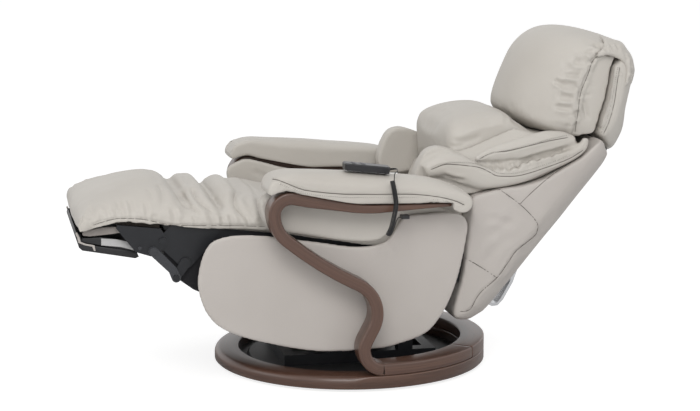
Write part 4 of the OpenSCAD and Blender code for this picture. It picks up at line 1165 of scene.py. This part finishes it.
def head_back():
    hw = 223.0
    front = np.array([(152, 530), (133, 568), (111, 620), (88, 660), (67, 700), (67, 736)], float)
    k_y = [0, 70, 160, 223]
    ra = [(76, 770), (106, 776), (128, 772), (146, 763), (161, 754), (172, 742), (186, 711), (200, 680),
          (221, 647), (237, 624), (250, 599), (257, 570), (259, 547), (250, 532), (215, 530)]
    rb = [(78, 758), (96, 755), (112, 747), (122, 740), (130, 733), (138, 724), (151, 696), (166, 665),
          (186, 633), (203, 610), (216, 586), (225, 558), (227, 542), (221, 531), (198, 530)]
    rc = [(70, 734), (82, 730), (90, 726), (98, 718), (103, 712), (108, 704), (122, 676), (133, 655),
          (144, 634), (155, 610), (164, 586), (168, 562), (170, 548), (166, 532), (160, 530)]
    rears = np.array([ra, ra, rb, rc], float)

    def rear_at(a, n):
        """The first n points of the rear outline at a distance from the middle, and how far the side swells."""
        r = np.array([[np.interp(a, k_y, rears[:, i, j]) for j in (0, 1)] for i in range(n)])
        return r, 9 * math.sin(math.pi * np.clip((a - 160) / 63, 0, 1))

    def fn(y):
        a = abs(y)
        r, bulge = rear_at(a, len(ra))
        c = np.array([120.0, 640.0])
        n = r - c
        r += n / np.linalg.norm(n, axis=1)[:, None] * bulge
        r[:, 1] = np.maximum(r[:, 1], 530)
        p = np.vstack([front, r])
        q = c + (p - c) * (1 - 0.10 * (1 - dome(max(0, a - 190) / 33, 2.2)))
        q[:, 1] = np.maximum(q[:, 1], 530)
        return q
    parts = [loft(spread(-hw, hw, 30), fn, 4)]
    # side roll between the pillow and the rear skin
    roll = [(60, -212, 700), (76, -214, 664), (100, -214, 622), (124, -214, 580), (140, -214, 548)]
    r1 = rope(roll, [10, 13, 15, 15, 12], 12)
    parts += [r1, flip(r1)]
    ob = shell = body_mesh("head_shell_soft", parts, BACK, LEATHER, 0.0052)

    def clear(lo):
        front_x = x_at(lo, [(152.5, 529), (132, 568), (110, 620), (86, 660), (64, 700), (64, 742), (70, 773)])
        lo[:, 0] = np.maximum(lo[:, 0], front_x)
        lo[:, 2] = np.clip(lo[:, 2], 529.5, 788)
    tucks = ([(59, 637), (68, 640), (80, 643)], [(66, 615), (76, 617), (90, 619)],
             [(84, 590), (94, 592), (108, 596)], [(98, 565), (110, 568), (124, 572)],
             [(112, 541), (124, 543), (140, 546)], [(40, 655), (52, 659), (68, 665)],
             [(46, 677), (58, 682), (74, 688)])
    press(ob, [(h, 6, 3.2, 0.6) for h in drawn(ob, BACK, SHELL_Y, *tucks)])
    edge = [(76, 704), (101, 663), (127, 623), (150, 575), (160, 538)]
    seam = seen(ob, BACK, SHELL_Y, edge)
    press(ob, [(track(seam), 3.0, 2.2, 0.5)], taper=False)
    gathers(ob, track(seam), 11, 3.2, 30, (-1, 0, -0.4), 4.4)
    lumps(ob, 0.09, 0.002, 9.0)
    hold(ob, BACK, clear)
    seam = seen(ob, BACK, SHELL_Y, edge, lift=-0.0002)
    rows = seen(ob, BACK, SHELL_Y, [(70, 703), (96, 659), (121, 617), (144, 570), (153, 536)], lift=0.0002)
    cord_lines("head_shell_seam_shade", [seam], "headrest")
    thread_rows("head_shell_thread", [rows], "headrest")
    finish_piece(ob, "headrest", "leather", "head_shell", pad=0.6)

    # soft flap that comes over the top and hangs down both sides
    crown = [(8, 752, 744, 716), (30, 762, 754, 734), (52, 771, 763, 744)]
    skirt_out = [(2, 694), (8, 712), (20, 730), (38, 741), (70, 743), (90, 736), (104, 723), (116, 702),
                 (124, 684)]
    skirt_in = [(116, 682), (107, 696), (96, 709), (78, 718), (58, 716), (42, 711), (26, 702), (10, 682)]

    def over(y, rise):
        r, bulge = rear_at(abs(y), 7)
        f = np.array([(x, np.interp(abs(y), [0, 150, 223], z)) for x, *z in crown])
        p = np.vstack([f, r])
        n = p - np.array([100.0, 620.0])
        return p + n / np.linalg.norm(n, axis=1)[:, None] * (rise + bulge)

    def top(y):
        return np.vstack([over(y, 2.5), over(y, -9)[::-1]])

    def skirt(y):
        p = np.array(skirt_out + skirt_in, float)
        return inset(p, 6 * (1 - dome((abs(y) - 222) / 7.0, 2.2)) + 0.3)
    side = loft([214, 216, 219, 222, 225, 227.5, 228.9], skirt, 3)
    ob = body_mesh("head_flap", [loft(spread(-223, 223, 26), top, 3), side, flip(side)], BACK, LEATHER, 0.0045)
    line, = drawn(ob, BACK, SHELL_Y - 6, [(10, 684), (26, 706), (47, 714), (77, 720), (98, 712), (118, 684)])
    gathers(ob, line, 14, 3.6, 40, (0.2, 0, 1), 1.9)
    tucks = ([(-2, 712), (8, 714), (24, 716)], [(13, 733), (28, 728), (45, 722)],
             [(23, 743), (36, 737), (52, 729)], [(56, 742), (70, 736), (84, 727)],
             [(88, 734), (96, 728), (104, 718)], [(108, 716), (114, 706), (118, 694)])
    press(ob, [(h, 5, 3.8, 0.7) for h in drawn(ob, BACK, SHELL_Y - 4, *tucks)])

    def under(lo):
        lo[:, 2] = np.minimum(lo[:, 2], 784)
    hold(ob, BACK, under)
    finish_piece(ob, "headrest", "leather", pad=0.3)
    c, n = seen(shell, BACK, SHELL_Y, [(92, 690), (94, 687), (96, 684)])[0]
    v, f = lathe([(0, 1.6), (3.2, 1.5), (4.6, 0.8), (4.9, 0), (4.9, -1)], 20)
    q = Vector(n).to_track_quat("Z", "Y")
    snap = new_obj("snap_button", [Vector(c) + q @ (Vector(x) / 1000) for x in v], f, LEATHER)
    finish_piece(fix_normals(snap), "headrest", "leather")


# ------------------------------------------------------------------ back

def back_pillow():
    hw = 188.0
    c = [(17, 244), (-40, 217), (-97, 193), (-113, 209), (-142, 237), (-168, 264), (-181, 290), (-177, 310),
         (-162, 334), (-134, 366), (-103, 398), (-80, 415), (-63, 418), (-49, 412)]
    e = [(17, 244), (-40, 217), (-92, 196), (-100, 212), (-110, 232), (-118, 252), (-108, 276), (-98, 298),
         (-84, 324), (-66, 356), (-50, 384), (-42, 398), (-38, 404), (-34, 408)]
    rest = [(2, 419), (34, 437), (100, 473), (138, 488), (138, 448), (115, 387), (97, 343), (60, 292)]

    def fn(y):
        return np.vstack([pair(c, e, dome(abs(y) / hw, 6.0)), rest])
    ob = body_mesh("back_pillow", [loft(spread(-hw, hw, 24), fn, 3)], BACK, LEATHER, 0.0085)
    puff(ob, 3.0, 0.006, 0.001)

    def clear(lo):
        top = np.interp(lo[:, 0], PARTING_X, PARTING_Z)
        m = lo[:, 0] > PARTING_X[0]
        lo[m, 2] = np.minimum(lo[m, 2], top[m])
        lim = x_at(lo, [(17, 243.5), (61, 290.5), (98, 341.5), (116, 385.5), (140, 446.5), (143, 494)])
        m = lo[:, 2] > 243.5
        lo[m, 0] = np.minimum(lo[m, 0], lim[m])
        low = np.interp(lo[:, 0], [-97.5, 17], [193.3, 243.6])
        m = (lo[:, 0] > -97.5) & (lo[:, 2] < 250)
        lo[m, 2] = np.maximum(lo[m, 2], low[m])
        lo[:, 1] = np.clip(lo[:, 1], -188, 188)
    hold(ob, BACK, clear)
    refine(ob)
    folds = (([(-150, 262), (-128, 275), (-108, 300), (-92, 330)], 9, 3.0),
             ([(-148, 250), (-130, 258), (-112, 275)], 5, 2.4), ([(-60, 395), (-72, 405), (-80, 420)], 6, 2.0))
    press(ob, [(*drawn(ob, BACK, -hw, q), w, d, 0.5) for q, w, d in folds])
    lumps(ob, 0.10, 0.002, 11.0)
    hold(ob, BACK, clear)
    finish_piece(ob, "back", "leather", "upper_back_cushion", pad=0.8)

    lum = [(60, 44), (8, 53), (-42, 79), (-79, 120), (-95, 165), (-96, 190), (-60, 207), (14, 240), (-6, 215),
           (-29, 184), (-14, 158)]

    def low(y):
        d = dome(abs(y) / hw, 5)
        p = np.array(lum, float)
        p[:, 0] = np.where(p[:, 0] < -28, -28 + (p[:, 0] + 28) * (0.7 + 0.3 * d), p[:, 0])
        return p
    ob = body_mesh("lumbar_pad", [loft(spread(-hw, hw, 18), low, 3)], BACK, LEATHER, 0.006)

    def clear2(lo):
        up = np.interp(lo[:, 0], [-97, 16.6], [191.5, 241.5])
        lo[:, 2] = np.minimum(lo[:, 2], up)
        lo[:, 1] = np.clip(lo[:, 1], -187.8, 187.8)
    lumps(ob, 0.08, 0.002, 2.0)
    hold(ob, BACK, clear2)
    finish_piece(ob, "back", "leather", "lumbar_cushion", pad=0.8)


def wings():
    base = [(-28, 186), (-70, 152), (-118, 106), (-152, 100), (-172, 112), (-188, 142), (-199, 178),
            (-198, 202), (-182, 225), (-152, 240), (-108, 246), (-84, 262), (-58, 310), (-28, 360), (4, 406),
            (38, 440), (76, 460), (104, 468), (128, 474), (138, 447), (115, 387), (97, 343), (60, 292),
            (16, 245)]
    up = [(-88, 263), (-60, 297), (-21, 343), (13, 388), (42, 425), (74, 452), (102, 472)]
    lo_ = [(-172, 150), (-150, 188), (-112, 214), (-70, 224), (-30, 241), (5, 271), (32, 304), (56, 341),
           (80, 380), (103, 416), (120, 450), (126, 476), (116, 496)]
    r_up = [4, 17, 25, 27, 27, 24, 11]
    d_up = [4, 13, 17, 18, 18, 17, 10]
    r_lo = [18, 29, 35, 34, 31, 28, 28, 28, 26, 21, 17, 13, 8]
    d_lo = [16, 24, 26, 26, 26, 25, 25, 25, 24, 20, 16, 12, 8]

    band = [(-28, 186), (-70, 152), (-118, 106), (-152, 100), (-172, 112), (-188, 142), (-199, 178),
            (-198, 202), (-182, 225), (-154, 241), (-126, 252), (-110, 270), (-82, 322), (-60, 362), (-40, 396),
            (0, 412), (50, 440), (92, 462), (126, 478), (138, 447), (115, 387), (97, 343), (60, 292), (16, 245)]

    def fn(y):
        t = (abs(y) - 188.6) / (236 - 188.6)
        d = dome(max(0.0, t - 0.55) / 0.45, 3)
        k = smooth(np.clip(t / 0.8, 0, 1))
        p = np.array(band, float) * (1 - k) + np.array(base, float) * k
        c = np.array([30.0, 330.0])
        front = np.arange(len(p)) < 19
        p[front] = np.where((p[front, 1] > 250)[:, None], p[front] + (c - p[front]) * 0.10 * (1 - d), p[front])
        return p
    gap = [(-22, 289), (-4, 297), (12, 314), (26, 346), (45, 372), (66, 400), (89, 434), (110, 464)]
    seam_low = [(-164, 166), (-147, 195), (-130, 211), (-98, 232), (-64, 252), (-35, 260), (-10, 266),
                (27, 294), (52, 323), (75, 357), (97, 391), (118, 428), (132, 466)]
    seam_top = [(-72, 272), (-55, 306), (-24, 337), (10, 380), (47, 427), (83, 468)]
    thread_low = [(-158, 182), (-136, 212), (-102, 239), (-66, 259), (-36, 267), (-14, 273), (20, 299),
                  (45, 328), (68, 362), (90, 396), (111, 432)]
    thread_top = [(-66, 284), (-50, 312), (-20, 345), (14, 388), (48, 436), (80, 474)]
    tucks = ([(-132, 175), (-100, 186), (-66, 204)], [(-34, 296), (-19, 289), (-7, 279)],
             [(-14, 308), (2, 302), (12, 290)], [(4, 326), (20, 321), (33, 314)],
             [(-40, 295), (-34, 280), (-18, 272)], [(24, 346), (40, 342), (50, 334)],
             [(46, 372), (58, 364), (68, 358)], [(70, 404), (84, 396), (94, 388)])

    def clear(q):
        lim = x_at(q, [(-29, 184), (17, 243.5), (61, 290.5), (98, 341.5), (116, 385.5), (140, 446.5),
                       (142, 490)]) - 0.4
        m = q[:, 2] > 184
        q[m, 0] = np.minimum(q[m, 0], lim[m])
        top = np.interp(q[:, 0], PARTING_X, PARTING_Z)
        m = (q[:, 0] > PARTING_X[0]) & (np.abs(q[:, 1]) < 216)
        q[m, 2] = np.minimum(q[m, 2], top[m])
        between(q, 188.6, 261.5)
    for s, label in SIDES:
        parts = [loft([188.6, 194, 204, 214, 222, 228, 233, 236], fn, 3),
                 rope([(x, 255 - r, z) for (x, z), r in zip(up, d_up)], r_up, 20, d_up, 0.8),
                 rope([(x, 261 - r, z) for (x, z), r in zip(lo_, d_lo)], r_lo, 20, d_lo, 0.75)]
        ob = body_mesh("wing_soft_" + label, [flip(q) if s < 0 else q for q in parts], BACK, LEATHER, 0.0048)
        if s < 0:
            lines = (drawn(ob, BACK, -248, gap) + drawn(ob, BACK, WING_LOW_Y, seam_low)
                     + drawn(ob, BACK, WING_TOP_Y, seam_top) + drawn(ob, BACK, -250, *tucks))
        gap_at, low_at, top_at, *tucks_at = (q * (1, -s, 1) for q in lines)
        press(ob, [(gap_at, 7, 9, 0.4), (gap_at, 3, 6, 0.1)], both=False)
        gathers(ob, low_at, 12, 1.8, 16, (-0.7, 0, 0.7), 3.3, both=False)
        press(ob, [(low_at, 2.6, 2.0, 0.6), (top_at, 2.6, 1.8, 0.6)], both=False, taper=False)
        press(ob, [(q, 6, 4.2, 0.7) for q in tucks_at], both=False)
        lumps(ob, 0.07, 0.0018, 13.0)
        hold(ob, BACK, clear)
        finish_piece(ob, "back", "leather", "wing_" + label, pad=0.8)
        if s < 0:
            low_seam, low_row = (seen(ob, BACK, WING_LOW_Y, q, lift=d)
                                 for q, d in ((seam_low, -0.0002), (thread_low, 0.0002)))
            top_seam, top_row = (seen(ob, BACK, WING_TOP_Y, q, lift=d)
                                 for q, d in ((seam_top, -0.0002), (thread_top, 0.0002)))
            cord_lines("wing_seam_shades", [low_seam, top_seam], "back", 0.0011)
            thread_rows("wing_thread", [[(c + n * 0.0005, n) for c, n in h] for h in (low_row, top_row)],
                        "back")


def back_skin():
    hw = 262.0
    p0 = [(131, -88), (94, -10), (63, 43), (24, 102), (-11, 158), (-27, 184), (17, 243), (61, 290), (98, 341),
          (116, 385), (140, 446), (150, 500), (153, 519), (190, 520), (212, 519), (222, 511), (245, 511),
          (252, 500), (258, 461), (258, 300), (258, 150), (258, -14), (248, -50), (228, -80), (194, -95),
          (165, -99)]

    def fn(y):
        lim = 148 + 110 * math.sqrt(max(0.0, 1 - (y / hw) ** 2))
        d = dome(abs(y) / hw, 9)
        p = np.array(p0, float)
        far = p[:, 0] > 148
        p[far, 0] = 148 + (p[far, 0] - 148) * (lim - 148) / 110
        c = np.array([120.0, 200.0])
        return c + (p - c) * (0.965 + 0.035 * d)
    outer = loft(spread(-hw, hw, 30), fn, 3)
    # the back shell's darker leather is painted shade
    ob = body_mesh("back_shell_soft", [outer], BACK, LEATHER_SHADED, 0.0065)
    lines = [([(-25, 197), (-9, 214), (9, 236), (23, 242), (86, 246), (131, 243), (160, 236), (172, 221),
               (175, 204), (162, 146), (164, 108), (167, 58), (158, 7), (158, -22), (164, -50), (158, -66),
               (146, -76)], 3.0, 2.6),
             ([(86, 246), (90, 278), (98, 328), (109, 374), (127, 424)], 2.8, 2.2),
             ([(60, 42), (107, 50), (168, 56)], 2.8, 2.2)]
    marks = [(*drawn(ob, BACK, BACK_Y, q), w, d, 0.6) for q, w, d in lines]
    soft = [([(120, 60), (112, 120), (124, 180)], 12, 3), ([(70, 120), (90, 160), (96, 220)], 14, 3),
            ([(172, 120), (182, 200), (176, 300)], 18, 3), ([(40, 150), (62, 176), (110, 190)], 9, 2.2),
            ([(185, 20), (192, 90), (186, 150)], 16, 2.5)]
    press(ob, [(*drawn(ob, BACK, BACK_Y, q), w, d, 0.5) for q, w, d in soft])
    press(ob, marks, taper=False)
    lumps(ob, 0.12, 0.002, 17.0)

    def clear(lo):
        front_x = x_at(lo, [(131, -88), (93, -10), (62, 43), (-12, 158), (-29, 183), (17.5, 243), (62, 290),
                            (99, 341), (117, 385), (141, 446), (150, 505), (152, 520)])
        lo[:, 0] = np.maximum(lo[:, 0], front_x + 0.2)
        lo[:, 0] = np.minimum(lo[:, 0], 258.0)
        lo[:, 2] = np.minimum(lo[:, 2], np.where(lo[:, 0] < 212, 520, 512))
    hold(ob, BACK, clear)
    cord_lines("back_seam_shades", [seen(ob, BACK, BACK_Y, q, lift=-0.0002) for q, _, _ in lines], "back")
    finish_piece(ob, "back", "leather", "back_shell", pad=0.5)


# ------------------------------------------------------------------ arms

ARM_CREST = 330


def arms():
    top = [(-284, 556), (-268, 574), (-229, 584), (-181, 583), (-79, 577), (-10, 570), (94, 560), (150, 551),
           (196, 536), (232, 518)]
    rear = [(250, 500), (250, 482), (236, 468), (216, 468), (196, 480), (172, 496)]
    low = [(80, 496.5), (-23, 498), (-91, 502), (-141, 510), (-192, 524), (-219, 534), (-239, 539), (-262, 536)]
    frt = [(-280, 529), (-291, 532), (-292, 544)]

    def fn(y):
        v = abs(y) - ARM_CREST
        d = dome(v / 59.5, 2.5) if v > 0 else dome(v / 62.5, 3.2)
        p = np.array(top, float)
        lowz = np.interp(p[:, 0], [-292, -262, -239, -219, -192, -141, -91, -23, 80, 172, 232],
                         [530, 536, 539, 534, 524, 510, 502, 498, 496, 490, 478])
        zs = lowz + (26 if v > 0 else 40)
        p[:, 1] = zs + (p[:, 1] - zs) * d
        e = np.array(rear, float)
        e[:, 0] -= 14 * (1 - d)
        g = np.array(frt, float)
        g[:, 0] += 6 * (1 - d)
        return np.vstack([p, e, low, g])
    for s, label in SIDES:
        part = loft(spread(268.4, 388.6, 18), fn, 4)
        ob = body_mesh("arm_pad_soft_" + label, [flip(part) if s < 0 else part], WORLD, LEATHER, 0.0046)
        if s < 0:
            seam = seen(ob, WORLD, ARM_Y, [(-280, 572), (-265, 569), (-239, 558), (-219, 549), (-192, 540),
                                           (-141, 532), (-91, 527), (-23, 524), (80, 521), (150, 512),
                                           (196, 500), (222, 488)])
            rows = seen(ob, WORLD, ARM_Y, [(-262, 560), (-236, 549), (-216, 541), (-190, 532), (-141, 524),
                                           (-91, 519), (-23, 516), (80, 513), (150, 504),
                                           (192, 494)], lift=0.0002)
        line = track(seam) * (1, -s, 1)
        press(ob, [(line, 2.6, 2.2, 0.6)], both=False, taper=False)
        gathers(ob, line[:len(line) // 3], 13, 2.6, 26, (0, 0, -1), 0.3, both=False)
        gathers(ob, line[-len(line) // 3:], 15, 2.4, 24, (0, 0, -1), 5.3, both=False)
        lumps(ob, 0.08, 0.0014, 21.0)

        def clear(q):
            # under the pad lie the wooden rail and its scroll
            between(q, 268.2, 389)
            zl = np.interp(q[:, 0], [-287, -271, -253, -240, -225, -197, -151, -93, -47, 0, 192],
                           [478, 509, 526.5, 532, 533.2, 528, 518, 505.6, 498.2, 495.6, 495.6])
            m = (q[:, 0] > -287) & (q[:, 0] < 192) & (q[:, 2] > 470)
            q[m, 2] = np.maximum(q[m, 2], zl[m] + 0.3)
        hold(ob, WORLD, clear)
        finish_piece(ob, "turntable", "leather", "arm_pad_" + label, pad=0.7)
    cord_lines("arm_seam_shades", [[(a - b * 0.0002, b) for a, b in seam]], "turntable")
    thread_rows("arm_thread", [rows], "turntable")

    inner = [(-296, 506), (-301, 486), (-296, 462), (-284, 436), (-270, 420), (-240, 414), (-180, 400),
             (-100, 386), (-20, 372), (60, 364), (150, 366), (210, 400), (232, 424), (222, 448), (190, 466),
             (150, 486), (90, 487), (-60, 490), (-130, 500), (-190, 516), (-240, 529), (-262, 526), (-284, 516)]
    thick = [(-296, 500), (-299, 484), (-293, 462), (-281, 438), (-266, 424), (-240, 418), (-180, 408),
             (-120, 396), (-60, 386), (10, 386), (44, 408), (66, 446), (84, 474), (60, 486), (-60, 488),
             (-130, 498), (-190, 513), (-240, 526), (-262, 522), (-282, 512)]
    for s, label in SIDES:
        def thin(y):
            return inset(np.array(inner, float), 5 * (1 - dome((abs(y) - 274.3) / 6.0, 2.2)))

        def deep(y):
            return inset(np.array(thick, float), 9 * (1 - dome((abs(y) - 288.5) / 19.2, 2.6)))
        parts = [loft(spread(268.4, 280.2, 6), thin, 3), loft(spread(269.6, 307.4, 10), deep, 3)]
        ob = body_mesh("arm_inner_soft_" + label, [flip(q) if s < 0 else q for q in parts], WORLD, LEATHER,
                       0.0045)
        press(ob, [(at_y(q, s * 268), w, d, 0.5)
                   for q, w, d in (([(-231, 500), (-180, 470), (-150, 440)], 10, 2.5),
                                   ([(30, 470), (46, 440), (60, 410)], 9, 3),
                                   ([(60, 476), (84, 440), (90, 400)], 9, 3),
                                   ([(100, 470), (120, 440), (124, 400)], 8, 2.5))], both=False)
        lumps(ob, 0.07, 0.0016, 23.0)

        hold(ob, WORLD, lambda q: between(q, 268.2, 308))
        finish_piece(ob, "turntable", "leather", "arm_inner_" + label, pad=0.6)

    side = [(-445, 363), (-426, 394), (-400, 407), (-359, 413), (-287, 410), (-219, 399), (-141, 387),
            (-68, 374), (-10, 371), (31, 380), (50, 396), (63, 416), (80, 442), (104, 451), (160, 454),
            (220, 453), (246, 442), (258, 420), (256, 389), (242, 315), (222, 246), (193, 184), (148, 131),
            (72, 104), (7, 94), (-142, 95), (-289, 126), (-385, 161), (-433, 204), (-456, 262), (-458, 312)]
    for s, label in SIDES:
        def flat(y):
            return inset(np.array(side, float), 6.5 * (1 - dome((abs(y) - 288) / 6.9, 2.2)))
        part = loft(spread(281.1, 294.9, 8), flat, 4)
        # the side panels' darker leather is painted shade
        ob = body_mesh("side_panel_soft_" + label, [flip(part) if s < 0 else part], WORLD, LEATHER_SHADED, 0.0042)
        marks = [([(16, 400), (-4, 384), (-34, 376)], 7, 1.2), ([(18, 396), (10, 372), (6, 340)], 6, 1.2),
                 ([(24, 398), (44, 372), (62, 350)], 7, 1.2)]
        press(ob, [(at_y(q, s * 295), w, d, 0.4) for q, w, d in marks], both=False)
        lumps(ob, 0.16, 0.0008, 27.0)

        hold(ob, WORLD, lambda q: between(q, 281.0, 295.4))
        finish_piece(ob, "turntable", "leather", "side_panel_" + label, pad=0.5)


seat_cover()
foot_tray()
under_legrest()
head()
head_back()
back_pillow()
wings()
back_skin()
arms()


# ------------------------------------------------------------------ floor and light


# grey of the floor for light that bounces; grey and glow of the floor as the camera sees it; strength of
# the white surroundings, doubled where the camera or a gloss sees them
FLOOR_GREY, SEEN_GREY, SEEN_GLOW, WORLD_LIGHT = 0.82, 0.42, 0.80, 0.50


def stage():
    floor = new_obj("floor", [(-30, -30, 0), (30, -30, 0), (30, 30, 0), (-30, 30, 0)], [(0, 1, 2, 3)], None,
                    False)
    m = bpy.data.materials.new("floor_white")
    m.use_nodes = True
    t = m.node_tree
    t.nodes.clear()
    lit = shader(t, "BsdfDiffuse", Color=(FLOOR_GREY, FLOOR_GREY, FLOOR_GREY, 1))
    shown = shader(t, "BsdfDiffuse", Color=(SEEN_GREY, SEEN_GREY, SEEN_GREY, 1))
    glow = shader(t, "Emission", Color=(1, 1, 1, 1), Strength=SEEN_GLOW)
    add, mix, out = shader(t, "AddShader"), shader(t, "MixShader"), shader(t, "OutputMaterial")
    ray = shader(t, "LightPath")
    for a, b in ((shown.outputs[0], add.inputs[0]), (glow.outputs[0], add.inputs[1]),
                 (ray.outputs["Is Camera Ray"], mix.inputs["Fac"]), (lit.outputs[0], mix.inputs[1]),
                 (add.outputs[0], mix.inputs[2]), (mix.outputs[0], out.inputs["Surface"])):
        t.links.new(a, b)
    floor.data.materials.append(m)
    world = bpy.data.worlds.new("world")
    scene.world = world
    world.use_nodes = True
    t = world.node_tree
    back = t.nodes["Background"]
    ray, either, level = shader(t, "LightPath"), shader(t, "Math"), shader(t, "Math")
    either.operation = "MAXIMUM"
    level.operation = "MULTIPLY_ADD"
    level.inputs[1].default_value = level.inputs[2].default_value = WORLD_LIGHT
    back.inputs["Color"].default_value = (1, 1, 1, 1)
    for a, b in ((ray.outputs["Is Camera Ray"], either.inputs[0]), (ray.outputs["Is Glossy Ray"],
        either.inputs[1]),
                 (either.outputs[0], level.inputs[0]), (level.outputs[0], back.inputs["Strength"])):
        t.links.new(a, b)


WARM, PALE, COOL = (1.0, 0.985, 0.965), (1.0, 0.99, 0.985), (0.97, 0.98, 1.0)
# name, place, target, size in metres, power in watts, colour
LAMPS = (("key", (-0.8, -3.6, 3.0), (0, 0, 0.5), (2.8, 1.8), 76, WARM),
         ("top", (-0.2, 0.8, 3.8), (0, 0, 0.4), (3.0, 3.0), 18, WHITE3),
         ("front", (-3.6, -0.6, 1.6), (0, 0, 0.5), (2.4, 1.8), 17, PALE),
         ("level", (-1.3, -4.6, 1.5), (0, 0, 0.5), (2.4, 1.6), 10, PALE),
         ("fill", (2.8, -2.6, 1.4), (0.2, 0, 0.5), (2.0, 1.6), 10, COOL))


def lamps():
    for name, loc, target, size, power, color in LAMPS:
        d = bpy.data.lights.new(name, "AREA")
        d.shape = "RECTANGLE"
        d.size, d.size_y = size
        d.energy = power
        d.color = color
        o = bpy.data.objects.new(name, d)
        scene.collection.objects.link(o)
        o.location = loc
        o.rotation_mode = "QUATERNION"
        o.rotation_quaternion = (Vector(target) - Vector(loc)).to_track_quat("-Z", "Y")


stage()
lamps()
scene.view_settings.view_transform = "Standard"
